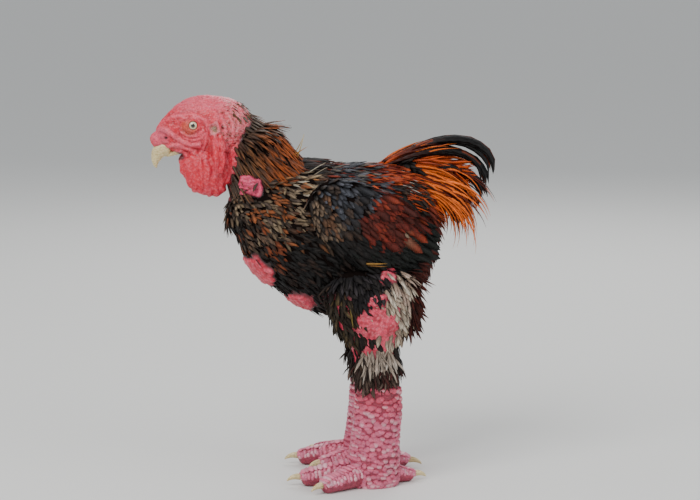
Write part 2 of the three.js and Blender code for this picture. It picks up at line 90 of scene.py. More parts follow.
# %% Floor and lights
def linear(text):
    """A colour written as in a paint chart, such as 'c8a060', in Blender's linear values."""
    parts = [int(text[i : i + 2], 16) / 255 for i in (0, 2, 4)]
    return tuple(p / 12.92 if p <= 0.04045 else ((p + 0.055) / 1.055) ** 2.4 for p in parts)


def own_mesh(name, mesh):
    """A bmesh as an object at the origin."""
    data = bpy.data.meshes.new(name)
    mesh.to_mesh(data)
    mesh.free()
    piece = bpy.data.objects.new(name, data)
    bpy.context.collection.objects.link(piece)
    return piece


def set_sockets(made, **values):
    """Sets a node's sockets by name, with _ for a space."""
    for key, value in values.items():
        made.inputs[key.replace("_", " ")].default_value = value


FLOOR_HALF = 40
floor_mesh = bmesh.new()
bmesh.ops.create_grid(floor_mesh, x_segments=8, y_segments=8, size=FLOOR_HALF)
floor = own_mesh("floor", floor_mesh)
floor_paint = bpy.data.materials.new("floor_paint")
floor_paint.use_nodes = True
set_sockets(floor_paint.node_tree.nodes["Principled BSDF"], Base_Color=(*linear("d9d8d4"), 1), Roughness=0.9)
floor.data.materials.append(floor_paint)

world = bpy.data.worlds.new("studio")
world.use_nodes = True
set_sockets(world.node_tree.nodes["Background"], Color=(*linear("e9edf2"), 1), Strength=0.75)
bpy.context.scene.world = world

LIGHTS = {
    "key": {"at": (-1.3, -1.9, 2.4), "size": 1.6, "watts": 76},
    "fill": {"at": (2.2, -1.6, 1.4), "size": 2.0, "watts": 27},
    "back": {"at": (0.6, 2.2, 2.2), "size": 1.8, "watts": 40},
}
for light_name, how in LIGHTS.items():
    light_data = bpy.data.lights.new(light_name, "AREA")
    light_data.size = how["size"]
    light_data.energy = how["watts"]
    light = bpy.data.objects.new(light_name, light_data)
    light.location = how["at"]
    light.rotation_euler = (light.location - TARGET).to_track_quat("Z", "Y").to_euler()
    bpy.context.collection.objects.link(light)
print("lights", list(LIGHTS))

# %% [markdown]
# ## Forms
# The CAD source draws each fleshy part as rings along a smooth path, and rings of that kind are used here
# too, in millimetres. A place on a form is a share `t` of its path and an angle round it. That pair also
# gives the way a feather lies, and a place on an unwrap of the form for baking.

# %% The form
MM = 0.001


def unit(vectors):
    return vectors / np.maximum(np.linalg.norm(vectors, axis=-1, keepdims=True), 1e-12)


STEP = 1e-3  # the small change of t or angle that gives a slope


class Form:
    """Rings of half heights and half widths along a smooth path, with a round cap at each end."""

    def __init__(self, stations, sideways=(0, 1, 0), caps=(0.2, 0.2)):
        rows = np.array([row if len(row) == 6 else (*row, row[3]) for row in stations], float) * MM
        self.rows = np.vstack([2 * rows[0] - rows[1], rows, 2 * rows[-1] - rows[-2]])
        self.sideways = np.array(sideways, float)
        self.caps = caps

    def row(self, t):
        spans = len(self.rows) - 3
        place = np.clip(t, 0, 1) * spans
        i = np.minimum(place.astype(int), spans - 1)
        u = (place - i)[..., None]
        a, b, c, d = (self.rows[i + k] for k in range(4))
        bow = 2 * a - 5 * b + 4 * c - d
        twist = 3 * b - a - 3 * c + d
        return 0.5 * (2 * b + (c - a) * u + bow * u**2 + twist * u**3)

    def along(self, t):
        ahead = self.row(np.minimum(t + STEP, 1))[..., :3]
        behind = self.row(np.maximum(t - STEP, 0))[..., :3]
        return unit(ahead - behind)

    def skin(self, t, angle, grow=0.0):
        row = self.row(t)
        along = self.along(t)
        side = unit(self.sideways - (along @ self.sideways)[..., None] * along)
        up = np.cross(along, side)
        to_end = np.maximum.reduce([0 * t, 1 - t / self.caps[0], 1 - (1 - t) / self.caps[1]])
        cap = np.sqrt(np.maximum(0, 1 - to_end**2))
        high = (np.where(np.sin(angle) > 0, row[..., 3], row[..., 5]) * cap * np.sin(angle))[..., None]
        wide = (row[..., 4] * cap * np.cos(angle))[..., None]
        point = row[..., :3] + up * high + side * wide
        return point if grow == 0 else point + self.facing(t, angle) * grow

    def facing(self, t, angle):
        round_it = self.skin(t, angle + STEP) - self.skin(t, angle - STEP)
        along_it = self.skin(np.minimum(t + STEP, 1), angle) - self.skin(np.maximum(t - STEP, 0), angle)
        out = unit(np.cross(round_it, along_it))
        at_end = (t < 2 * STEP)[..., None] * -1.0 + (t > 1 - 2 * STEP)[..., None] * 1.0
        return np.where(at_end != 0, self.along(t) * at_end, out)

    def add_to(self, mesh, sides=32, rings=32, grow=0.0):
        """Adds the closed form to a bmesh, by moving the points of a sphere onto the rings."""
        own = bmesh.new()
        made = bmesh.ops.create_uvsphere(own, u_segments=sides, v_segments=rings, radius=1)["verts"]
        ball = np.array([vert.co for vert in made])
        share = 1 - np.arccos(np.clip(ball[:, 2], -1, 1)) / math.pi
        t = ((1 - np.cos(math.pi * share)) / 2 + share) / 2
        points = self.skin(t, np.arctan2(ball[:, 1], ball[:, 0]), grow)
        for vert, point in zip(made, points):
            vert.co = point
        data = bpy.data.meshes.new("form")
        own.to_mesh(data)
        own.free()
        mesh.from_mesh(data)
        bpy.data.meshes.remove(data)


def ball(x, y, z, half_x, half_y, half_z, tilt=0.0):
    """An ellipsoid as a form, turned about Y by `tilt` degrees."""
    way = Vector((1, 0, 0))
    way.rotate(Matrix.Rotation(math.radians(tilt), 3, "Y"))
    shares = (-1, -0.5, 0, 0.5, 1)
    rows = [(x + way.x * s * half_x, y, z + way.z * s * half_x, half_z, half_y) for s in shares]
    return Form(rows, caps=(0.5, 0.5))


# %% [markdown]
# ## The bird's forms
# A station is (x, y, z, half height above, half width, half height below) in millimetres. Neck, body,
# wings, tail root and legs have the CAD's own stations. The head's follow the CAD with more shape.
# Left-hand pieces are mirrored later.

# %% Stations
LEG_Y = 56
EYE = (-171.5, -26.5, 475.5)
EYE_RADIUS = 6.6

torso = Form(
    [
        (-138, 0, 348, 24, 22, 8),
        (-125, 0, 348, 40, 38, 22),
        (-112, 0, 348, 52, 50, 50),
        (-92, 0, 348, 64, 64, 78),
        (-62, 0, 348, 75, 80, 101),
        (-20, 0, 348, 80, 86, 127),
        (38, 0, 348, 80, 84, 138),
        (84, 0, 348, 78, 74, 126),
        (120, 0, 348, 66, 58, 94),
        (156, 0, 348, 38, 34, 58),
    ],
    caps=(0.05, 0.07),
)
neck = Form(
    [(-48, 0, 370, 62, 54), (-76, 0, 406, 56, 46), (-97, 0, 440, 50, 38), (-114, 0, 468, 40, 30)],
    caps=(0.1, 0.2),
)
skull = Form(
    [
        (-221, 0, 452, 8, 9, 11),
        (-202, 0, 462, 23.5, 18, 28),
        (-176, 0, 469, 39, 26),
        (-148, 0, 471, 42, 31),
        (-118, 0, 464, 40, 32),
        (-94, 0, 454, 32, 28),
    ],
    caps=(0.12, 0.3),
)
comb = [
    ball(-217, 0, 455, 12, 9.8, 11),
    ball(-208, 0, 469, 9, 9, 8),
    ball(-200, 0, 481, 8, 8.5, 7),
    ball(-213, -5, 463, 7, 6.4, 6),
    ball(-205, -7, 473, 7, 6.4, 6),
    ball(-213, 5, 463, 7, 6.4, 6),
    ball(-205, 7, 473, 7, 6.4, 6),
]
nape = ball(-103, 0, 469, 27, 22, 19, 35)
wattle = [
    Form(
        [(-181, -9, 438, 12, 6), (-177, -13, 425, 13, 8), (-175, -14, 412, 13, 8), (-175, -13, 402, 8, 5)],
        caps=(0.15, 0.3),
    ),
    Form(
        [
            (-170, -14, 442, 16, 7),
            (-163, -18, 424, 23, 10),
            (-154, -19, 405, 26, 11),
            (-149, -17, 390, 21, 9),
            (-149, -15, 381, 12, 6),
        ],
        caps=(0.15, 0.2),
    ),
    Form(
        [(-137, -21, 442, 4, 4), (-131, -22, 426, 7, 5), (-131, -21, 408, 8, 5), (-136, -19, 394, 5, 4)],
        caps=(0.15, 0.25),
    ),
]
ear_lobe = [
    Form(
        [
            (-144, -30, 466, 4, 4),
            (-142, -34, 450, 4.5, 4.6),
            (-141, -35, 430, 4.5, 4.6),
            (-139, -34, 410, 4, 4),
        ],
        caps=(0.15, 0.2),
    ),
    Form(
        [
            (-136, -30, 464, 3, 3.5),
            (-133, -34, 448, 3.5, 4),
            (-133, -35, 430, 3.5, 4),
            (-134, -34, 413, 3.5, 3.5),
        ],
        caps=(0.15, 0.2),
    ),
]
wing = Form(
    [
        (-28, -72, 385, 26, 12),
        (10, -82, 372, 44, 13),
        (60, -82, 346, 54, 13),
        (100, -70, 322, 42, 11),
        (128, -56, 302, 20, 8),
    ],
    caps=(0.2, 0.25),
)
tail_root = Form(
    [(96, 0, 392, 30, 24), (122, 0, 404, 32, 20), (146, 0, 407, 26, 13), (168, 0, 402, 16, 6)],
    caps=(0.15, 0.15),
)
thigh = Form(
    [
        (54, -44, 300, 62, 34),
        (58, -56, 262, 64, 36),
        (61, -58, 222, 58, 32),
        (64, -57, 186, 38, 28),
        (66, -56, 156, 37, 28),
        (69, -56, 124, 30, 24),
    ],
    caps=(0.15, 0.16),
)
shank = Form(
    [
        (70, -LEG_Y, 152, 28, 23),
        (69, -LEG_Y, 105, 32, 25),
        (66, -LEG_Y, 70, 32, 25),
        (64, -LEG_Y, 40, 34, 27),
        (61, -LEG_Y, 10, 37, 31),
        (61, -LEG_Y, -8, 33, 29),
    ],
    caps=(0.1, 0.1),
)
TOES = {
    "inner": {"turn": -26, "from": 22, "reach": 74, "thick": 13.5},
    "middle": {"turn": 3, "from": 24, "reach": 96, "thick": 16},
    "outer": {"turn": 37, "from": 22, "reach": 86, "thick": 15},
    "hind": {"turn": 196, "from": 24, "reach": 60, "thick": 12.5},
}


FOOT = np.array((61, -LEG_Y, 0))  # where the left foot's toes meet


def toe_ahead(turn):
    """The way a left toe points, and the way across it."""
    angle = math.radians(turn)
    ahead = np.array((-math.cos(angle), -math.sin(angle), 0))
    return ahead, np.cross(ahead, (0, 0, 1))


def toe_form(turn, reach, thick, **sizes):
    ahead, across = toe_ahead(turn)
    rows = []
    for share, size in zip((0, 0.3, 0.6, 0.85, 1), (1.15, 1.05, 0.9, 0.78, 0.62)):
        middle = FOOT + ahead * (sizes["from"] + (reach - sizes["from"]) * share)
        rows.append((middle[0], middle[1], thick * size - 1.5, thick * size, thick * size))
    return Form(rows, sideways=across, caps=(0.1, 0.16))


toes = {name: toe_form(**sizes) for name, sizes in TOES.items()}
print("forms ready, toes", list(toes))

# %% [markdown]
# ## Patterns by place
# A bird's markings follow its body, so colours are worked out from where a point or a feather's root is.
# `patch` is a soft oval seen from the side, `drift` is a slow random change, and `grains` gives rounded
# grains like those of a cockerel's bare skin. All are seeded, so each run gives the same bird.


# %% Patterns
def ramp(values, low, high):
    """0 below `low`, 1 above `high`, and a soft rise between."""
    share = np.clip((values - low) / (high - low), 0, 1)
    return share * share * (3 - 2 * share)


def patch(points, x, z, half_x, half_z, turn=0.0, soft=0.35):
    """1 inside an oval seen from the side, 0 outside. Millimetres and degrees."""
    dx = points[:, 0] / MM - x
    dz = points[:, 2] / MM - z
    c = math.cos(math.radians(turn))
    s = math.sin(math.radians(turn))
    far = np.hypot((dx * c + dz * s) / half_x, (dz * c - dx * s) / half_z)
    return np.clip((1 + soft / 2 - far) / soft, 0, 1)


def drift(points, size, seed):
    """Smooth noise of about -1 to 1 whose swells are `size` metres across."""
    rng = np.random.default_rng(seed)
    waves = unit(rng.normal(size=(7, 3))) * (2 * math.pi / size) * rng.uniform(0.5, 1.6, (7, 1))
    return np.sin(points @ waves.T + rng.uniform(0, 6.28, 7)).sum(axis=1) / 2.6


def grains(points, size, seed):
    """Rounded grains `size` metres across: 1 at the middle of each, 0 in the grooves."""
    home = np.floor(points / size)
    nearest = np.full(len(points), 9.0)
    for dx in (-1, 0, 1):
        for dy in (-1, 0, 1):
            for dz in (-1, 0, 1):
                cell = home + (dx, dy, dz)
                key = cell @ np.array((127.1, 311.7, 74.7)) + seed
                wild = [np.abs(np.sin(key + k) * 43758.5453) for k in (0.0, 17.3, 41.9)]
                shift = np.stack([np.modf(one)[0] for one in wild], axis=1)
                nearest = np.minimum(nearest, np.linalg.norm(cell + shift - points / size, axis=1))
    return np.clip(1 - nearest**2, 0, 1)


def mix(a, b, share):
    """Rows of `a` moved towards `b`, each by its own share."""
    return a + (np.asarray(b) - a) * share[:, None]


def same(colour, count):
    """One colour, given `count` times."""
    return np.tile(linear(colour), (count, 1))


def between(first, second, share):
    """Colours from the first to the second, by the share of each point."""
    return mix(same(first, len(share)), linear(second), share)


# Bare skin that shows between the feathers, as ovals seen from the side
BARE_BREAST = [(-90, 280, 25, 22, -38), (-34, 240, 19, 15, -20), (-96, 396, 18, 14, -42)]
BARE_THIGH = [(80, 283, 13, 8, 20), (64, 252, 14, 9, 10), (66, 222, 27, 19, 0)]
KEEL = (0.007, 0.015)  # half widths in metres of the feathered strip down the middle of the breast


def bareness(points, ovals):
    """How bare the skin is, from 0 to 1. The ovals are seen from the side, and end at the keel."""
    inside = np.maximum.reduce([patch(points, *oval) for oval in ovals])
    return inside * ramp(np.abs(points[:, 1]), *KEEL)


# %% [markdown]
# ## Skin
# Real skin runs unbroken over head, neck, body and legs. Here each form is added to one mesh, and a voxel
# remesh melts them together with soft joins. It lies inside the CAD's forms by the depth of the feathers,
# and at full size where the bird is bare. Lid and ear rims go in before the melt, folds are raised after it.


# %% Gather the forms
def place(form, x, z):
    """The (t, angle) on a form's left side that is seen at (x, z) millimetres."""
    left_half = np.linspace(math.pi / 2, 1.5 * math.pi, 60)
    t, angle = np.meshgrid(np.linspace(0.02, 0.98, 97), left_half)
    points = form.skin(t.ravel(), angle.ravel())
    best = np.argmin(np.hypot(points[:, 0] - x * MM, points[:, 2] - z * MM))
    return t.ravel()[best], angle.ravel()[best]


def add_ring(mesh, middle, out, radius, tube):
    """A fleshy ring round a point, looking out along `out`. Millimetres."""
    out = Vector(out).normalized()
    middle = Vector(middle) * MM
    aside = out.orthogonal().normalized()
    turn = Matrix((aside, out, aside.cross(out))).transposed().to_4x4()
    where = Matrix.Translation(middle + aside * radius * MM) @ turn
    rim = bmesh.ops.create_circle(mesh, segments=10, radius=tube * MM, matrix=where)["verts"]
    edges = list({edge for vert in rim for edge in vert.link_edges})
    bmesh.ops.spin(mesh, geom=rim + edges, cent=middle, axis=out, angle=2 * math.pi, steps=28, use_merge=True)


# Folds of the face: places (x, z) seen from the side, half width and height
FACE_FOLDS = [
    ([(-219, 472), (-207, 469), (-195, 460), (-184, 453), (-174, 449), (-163, 450)], 2.6, 2.2),
    ([(-208, 444), (-199, 449), (-189, 449), (-180, 444), (-170, 441)], 2.4, 2.0),
    ([(-206, 437), (-197, 441), (-188, 441), (-181, 437)], 1.8, 1.4),
    ([(-204, 483), (-192, 487), (-177, 489), (-163, 486), (-153, 479)], 2.6, 1.3),
    ([(-188, 466), (-178, 461), (-166, 462), (-158, 469)], 1.7, 1.2),
    ([(-184, 459), (-172, 455), (-160, 459), (-153, 466)], 1.6, 1.0),
    ([(-190, 478), (-184, 484), (-172, 486)], 1.2, 0.7),
    ([(-154, 484), (-153, 470), (-155, 456), (-158, 444)], 1.8, 1.2),
    ([(-135, 488), (-130, 474), (-129, 458), (-128, 444)], 2.2, 1.2),
    ([(-125, 492), (-119, 478), (-119, 462)], 1.8, 0.8),
]
# Wrinkles of the neck's bare patch
NECK_FOLDS = [([(-108, z), (-98, z - 2), (-88, z)], 1.5, 1.3) for z in (404, 400, 396, 392, 388)]
EAR = (-143.5, 471)
# How deep the coat is on each form, in metres: the skin lies that far inside the CAD's form
COAT = {
    "torso": 0.0075, "neck": 0.004, "tail": 0.004, "thigh": 0.007, "wing": 0.004,
    "shank": 0.002, "toe": 0.0012,
}

middle_parts = [
    (torso, -COAT["torso"]),
    (neck, -COAT["neck"]),
    (skull, 0.0),
    (tail_root, -COAT["tail"]),
    *[(knob, 0.0) for knob in comb],
    (nape, 0.0),
]
left_parts = [
    (thigh, -COAT["thigh"]),
    (shank, -COAT["shank"]),
    (wing, -COAT["wing"]),
    *[(band, 0.0) for band in ear_lobe],
    *[(lobe, 0.0) for lobe in wattle],
    *[(form, -COAT["toe"]) for form in toes.values()],
    (ball(-171, -24.5, 474.5, 14, 7.5, 11.5), 0.0),  # the swelling round the eye
]
flesh = bmesh.new()
for form, grow in left_parts:
    form.add_to(flesh, 28, 24, grow)
ear_t, ear_angle = place(skull, *EAR)
ear_point = skull.skin(np.array([ear_t]), np.array([ear_angle]))[0] / MM
ear_out = skull.facing(np.array([ear_t]), np.array([ear_angle]))[0]
add_ring(flesh, ear_point, ear_out, 6.6, 2.7)
add_ring(flesh, (EYE[0], EYE[1] - 3.6, EYE[2]), (0.05, -1, 0.12), 6.4, 1.5)
left = list(flesh.verts)
faces = list(flesh.faces)
copy = bmesh.ops.duplicate(flesh, geom=left + faces)["geom"]
right = [item for item in copy if isinstance(item, bmesh.types.BMVert)]
bmesh.ops.scale(flesh, vec=(1, -1, 1), verts=right)
bmesh.ops.reverse_faces(flesh, faces=[item for item in copy if isinstance(item, bmesh.types.BMFace)])
for form, grow in middle_parts:
    form.add_to(flesh, 48, 40, grow)
print("flesh before the melt:", len(flesh.faces), "faces")


# %% Melt them together
def with_modifier(piece, kind, **settings):
    """The piece's mesh after one modifier, put in its place."""
    modifier = piece.modifiers.new(kind.lower(), kind)
    for key, value in settings.items():
        setattr(modifier, key, value)
    depsgraph = bpy.context.evaluated_depsgraph_get()
    data = bpy.data.meshes.new_from_object(piece.evaluated_get(depsgraph))
    piece.modifiers.clear()
    piece.data = data


def points_of(data):
    flat = np.empty(len(data.vertices) * 3)
    data.vertices.foreach_get("co", flat)
    return flat.reshape(-1, 3)


SKIN_KEPT = 0.32  # share of faces kept by thinning the hidden skin
VOXEL = 0.0013
skin = own_mesh("skin", flesh)
with_modifier(skin, "REMESH", mode="VOXEL", voxel_size=VOXEL)
print("melted:", len(skin.data.polygons), "faces")
spots = points_of(skin.data)
bare_head = (spots[:, 0] < -0.108) & (spots[:, 2] > 0.37)
bare_breast = (bareness(spots, BARE_BREAST) > 0) & (spots[:, 0] < 0)
bare_thigh = (bareness(spots, BARE_THIGH) > 0) & (np.abs(spots[:, 1]) > 0.055)
coarse = skin.vertex_groups.new(name="coarse")
coarse.add([int(i) for i in np.flatnonzero(~(bare_head | bare_breast | bare_thigh))], 1.0, "REPLACE")
with_modifier(skin, "DECIMATE", ratio=SKIN_KEPT, vertex_group="coarse", vertex_group_factor=1.0)
print("thinned:", len(skin.data.polygons), "faces")


# %% [markdown]
# ## Shaping the bare skin
# A Dong Tao cockerel's face is fleshy and grainy, its wattles hang in soft upright folds, and the bare
# patches on breast and thigh are pebbly and stand as high as the feathers round them. Points are moved
# along their normals by the patterns above, which is quick and keeps the surface in one piece.


# %% Shape the skin
SOCKET_FLOOR = 27.5  # millimetres from the middle plane to the skin behind the eyeball
SOLE = 0.0003  # the lowest skin, in metres


def normals_of(data):
    flat = np.empty(len(data.vertices) * 3)
    data.vertex_normals.foreach_get("vector", flat)
    return flat.reshape(-1, 3)


def from_line(x, z, places):
    """How far points seen at (x, z) are from a line through the places."""
    nearest = np.full(len(x), 1e3)
    for (x0, z0), (x1, z1) in zip(places, places[1:]):
        share = ((x - x0) * (x1 - x0) + (z - z0) * (z1 - z0)) / ((x1 - x0) ** 2 + (z1 - z0) ** 2)
        share = np.clip(share, 0, 1)
        nearest = np.minimum(nearest, np.hypot(x - x0 - share * (x1 - x0), z - z0 - share * (z1 - z0)))
    return nearest


spots = points_of(skin.data)
out = normals_of(skin.data)
x, y, z = (spots / MM).T
uneven = spots + 0.0026 * np.stack([drift(spots, 0.018, k) for k in (41, 42, 43)], axis=1)
breast = bareness(uneven, BARE_BREAST) * ramp(-x, 5, 20)
thigh_skin = bareness(uneven, BARE_THIGH) * ramp(np.abs(y), 58, 66) * ramp(x, 25, 35)
head = ramp(-x, 100, 116) * ramp(z, 368, 378)
hanging = head * ramp(-z, -440, -425)
crown = head * ramp(z, 488, 500)
from_eye = np.hypot(x - EYE[0], z - EYE[2])
beside_eye = (np.abs(y) > 18) * (x < -150)
grain = grains(spots, 0.0029, 5)
pebbles = grains(spots, 0.0052, 6)
lift = head * (1 - 0.5 * crown) * 0.6 * (grain - 0.5) * ramp(from_eye, 7, 10)
lift += crown * 0.5 * (0.5 - np.abs(drift(spots * (0.45, 1, 1), 0.006, 7)))
lift += head * 0.35 * drift(spots, 0.012, 8)
lift += hanging * 0.9 * np.cos(2 * math.pi * (x + 2.5 * drift(spots, 0.03, 9)) / 9.5)
lift += breast * (5.5 + 2.6 * (pebbles - 0.5)) + thigh_skin * (3 + 1.8 * (grains(spots, 0.0042, 11) - 0.5))
lift += beside_eye * head * 0.35 * np.cos(from_eye * 2.4) * ramp(-from_eye, -14, -8)
ridge = np.zeros(len(x))
crease = np.zeros(len(x))
wavy = 1 + 0.3 * drift(spots, 0.011, 10)
for places, half, high in FACE_FOLDS + NECK_FOLDS:
    far = from_line(x, z, places) / (half * wavy)
    ridge = np.maximum(ridge, high * np.exp(-far**2))
    crease = np.maximum(crease, np.exp(-((far - 1.9) ** 2) * 3) * min(1, high / 1.5))
on_side = ramp(np.abs(y), 6, 12) * ramp(from_eye, 7, 9)
ridge *= on_side
crease *= on_side
ear_far = np.hypot((x - EAR[0]) * 1.12, (z - EAR[1]) * 0.92) * (1 + 0.2 * drift(spots, 0.009, 15))
ear = 1.1 * np.exp(-(((ear_far - 6.8) / 2.0) ** 2)) - 0.5 * np.exp(-((ear_far / 4.2) ** 2))
ear *= (np.abs(y) > 12) * head
nostril = ramp(-np.hypot(x + 207.5, (z - 458) * 1.3), -3.4, -1.4) * (np.abs(y) > 4)
lift += ear + ridge - 0.8 * crease * (1 - np.minimum(ridge, 1)) - 2.2 * nostril
spots = spots + out * (lift * MM)[:, None]
socket = beside_eye * ramp(-from_eye, -6.3, -5.3)
deep = np.sign(y) * SOCKET_FLOOR * MM
spots[:, 1] += (deep - spots[:, 1]) * socket
spots[:, 2] = np.maximum(spots[:, 2], SOLE)
skin.data.vertices.foreach_set("co", spots.ravel())
skin.data.update()
print("skin points moved by up to", round(float(np.abs(lift).max()), 1), "mm")

# %% [markdown]
# ## Colours of the skin
# The colour of a point is kept as an attribute named `tint`, which every material of flesh and feather
# reads. Under the feathers the skin is tinted near-black as painted shade, so that no light ground shows
# between them.


# %% Tint the skin
def hackle_edge(z):
    """Where the bare head ends and the hackle begins: x for a height, in millimetres."""
    return -121 + 21 * ramp(z, 446, 492) - 30 * ramp(-z, -415, -400)


def give_tint(data, colours):
    layer = data.color_attributes.new("tint", "FLOAT_COLOR", "POINT")
    full = np.concatenate([colours, np.ones((len(colours), 1))], axis=1)
    layer.data.foreach_set("color", full.ravel())


def layered(first, *layers):
    """Colours of the skin's points: the first, then each (colour, share) laid over it in turn."""
    colours = same(first, len(spots))
    for colour, share in layers:
        colours = mix(colours, linear(colour), share)
    return colours


DARK = 0.03  # a tint whose three parts sum to less is hidden under the coat
# near-black tint of the skin under the coat: painted shade between the feathers
tint = same("140d0b", len(spots))
behind_ear = ramp(x, -150, -118) * ramp(z, 430, 470)
red = layered(
    "d81830",
    ("ea3c56", ramp(drift(spots, 0.02, 12), -0.6, 1.2) * 0.6),
    ("e8627a", crown * 0.45),
    ("e07078", ramp(x, -138, -112) * ramp(z, 440, 470) * 0.6),
    # painted highlight: pale tops of the grains behind the ear
    ("f0a0a4", ramp(grains(spots, 0.0036, 16), 0.7, 0.95) * behind_ear * 0.6),
    ("e4607a", patch(spots, -215, 458, 12, 13) * 0.6),
    ("c8603e", ramp(-np.hypot(x + 177, z - 472), -14, -7) * 0.6 * (np.abs(y) > 14)),
    ("d0848a", ramp(-ear_far, -9.5, -7) * 0.6),
    ("d4907c", ramp(-ear_far, -6.5, -3.0) * 0.8),
    ("c41a30", hanging * 0.3),
    # painted highlight on the raised fold ridges, painted shade in the creases beside them
    ("f27488", np.minimum(ridge, 1.5) * 0.3),
    ("8c1022", crease * (1 - np.minimum(ridge, 1)) * 0.6),
    # painted highlight on the tops of the face's grains, painted shade in the grooves between them
    ("f08490", ramp(grain, 0.74, 0.98) * 0.38),
    ("8f1423", (1 - ramp(grain, 0.0, 0.5)) * 0.6),
    # painted shade: the dark of the open gape below the beak
    ("3a0d10", patch(spots, -193, 434, 10, 5, -10) * 0.9),
    ("4a1018", nostril),
)
wattles = ramp(-x, 121, 125) * ramp(z, 373, 378)
tint = mix(tint, red, np.maximum(ramp(hackle_edge(z) - x, -11, -4) * ramp(z, 405, 415), wattles))
bare = layered(
    "d02a42",
    # painted shade in the grooves between the pebbles
    ("96101f", 1 - ramp(pebbles, 0.1, 0.6)),
    # painted highlight on the pebble tops
    ("ee7286", ramp(pebbles, 0.7, 0.98) * 0.5),
    ("e2507a", ramp(z, 370, 380) * 0.6),
    # painted shade in the creases of the neck's bare patch
    ("8a1030", crease * 0.5),
)
tint = mix(tint, bare, ramp(breast, 0.35, 0.8))
small_grain = grains(spots, 0.0042, 11)
pink = layered(
    "d8425a",
    ("b02238", ramp(drift(spots, 0.012, 13), -0.4, 0.8)),
    # painted highlight on the grain tops
    ("ea8490", ramp(small_grain, 0.7, 0.95) * 0.4),
    # painted shade in the grooves between the grains
    ("8e2a38", (1 - ramp(small_grain, 0.1, 0.5)) * 0.6),
)
on_leg = ramp(-z, -330, -300) * ramp(np.abs(y), 30, 40)
tint = mix(tint, pink, np.maximum(thigh_skin, on_leg * ramp(-z, -262, -240)))
# the red skin between the leg scales: its own red, darkened further as painted shade in the crevices
shin = layered(
    "a83c54",
    ("962c40", ramp(z, 88, 128)),
    ("7e2438", ramp(drift(spots, 0.009, 14), 0, 1.2) * 0.6),
)
tint = mix(tint, shin, ramp(-z, -150, -130))
give_tint(skin.data, tint)
skin.data.polygons.foreach_set("use_smooth", np.ones(len(skin.data.polygons), bool))
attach(skin, BODY)
paired = ("wattle", "ear_lobe", "thigh", "shank", *["toe_" + name for name in TOES])
pairs = [part + side for part in paired for side in ("_left", "_right")]
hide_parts("torso", "head", "comb", "neck", *pairs)
print("skin tinted,", len(skin.data.polygons), "faces")

# %% [markdown]
# ## Shader groups
# Three effects are shared by several materials, so each is a node group with its own sliders: `mottle`
# for slow unevenness of a colour, `grain` for the grooves of bare skin and scales, with painted shade in
# the grooves, and `barbs` for the fine slanting lines and the shaft of a feather, with painted shade
# between the lines.


# %% Groups
def node(tree, kind, settings=(), **inputs):
    """A shader node: its settings, then its inputs by name, each a value or another node's output."""
    made = tree.nodes.new("ShaderNode" + kind)
    for key, value in dict(settings).items():
        setattr(made, key, value)
    for key, value in inputs.items():
        socket = made.inputs[key.replace("_", " ")]
        if isinstance(value, bpy.types.NodeSocket):
            tree.links.new(value, socket)
        else:
            socket.default_value = value
    return made


def math_node(tree, operation, *values):
    made = tree.nodes.new("ShaderNodeMath")
    made.operation = operation
    for socket, value in zip(made.inputs, values):
        if isinstance(value, bpy.types.NodeSocket):
            tree.links.new(value, socket)
        else:
            socket.default_value = value
    return made.outputs[0]


def new_group(name, sliders, results):
    tree = bpy.data.node_groups.new(name, "ShaderNodeTree")
    for slider, (kind, value) in sliders.items():
        socket = tree.interface.new_socket(slider, in_out="INPUT", socket_type="NodeSocket" + kind)
        socket.default_value = value
    for result, kind in results.items():
        tree.interface.new_socket(result, in_out="OUTPUT", socket_type="NodeSocket" + kind)
    return tree, tree.nodes.new("NodeGroupInput"), tree.nodes.new("NodeGroupOutput")


def give(tree, result, **outputs):
    """Sends sockets to a group's results."""
    for key, socket in outputs.items():
        tree.links.new(socket, result.inputs[key])


mottle, given, result = new_group(
    "mottle",
    {"Color": ("Color", (1, 1, 1, 1)), "Scale": ("Float", 60), "Amount": ("Float", 0.2)},
    {"Color": "Color"},
)
where = node(mottle, "TexCoord").outputs["Object"]
cloud = node(mottle, "TexNoise", Vector=where, Scale=given.outputs["Scale"], Detail=4.0, Roughness=0.6)
swing = math_node(mottle, "SUBTRACT", cloud.outputs["Fac"], 0.5)
swing = math_node(mottle, "MULTIPLY", swing, given.outputs["Amount"])
value = math_node(mottle, "MULTIPLY_ADD", swing, 2.0, 1.0)
shaded = node(mottle, "HueSaturation", Value=value, Color=given.outputs["Color"])
give(mottle, result, Color=shaded.outputs["Color"])

grain_group, given, result = new_group(
    "grain", {"Scale": ("Float", 400), "Groove": ("Float", 0.3)}, {"Height": "Float", "Shade": "Float"}
)
where = node(grain_group, "TexCoord").outputs["Object"]
wander = node(grain_group, "TexNoise", Vector=where, Scale=150.0, Detail=2.0)
bent = node(grain_group, "VectorMath", {"operation": "SCALE"}, Scale=0.003)
grain_group.links.new(wander.outputs["Color"], bent.inputs[0])
moved = node(grain_group, "VectorMath", {"operation": "ADD"})
grain_group.links.new(where, moved.inputs[0])
grain_group.links.new(bent.outputs[0], moved.inputs[1])
cell = node(grain_group, "TexVoronoi", Vector=moved.outputs[0], Scale=given.outputs["Scale"])
dome = math_node(grain_group, "SUBTRACT", 1.0, cell.outputs["Distance"])
# the Shade result is painted shade: darkest in the grooves, by the Groove slider
darkest = math_node(grain_group, "SUBTRACT", 1.0, given.outputs["Groove"])
shade = node(grain_group, "MapRange", Value=dome, From_Min=0.2, From_Max=0.75, To_Min=darkest, To_Max=1.0)
give(grain_group, result, Height=dome, Shade=shade.outputs[0])

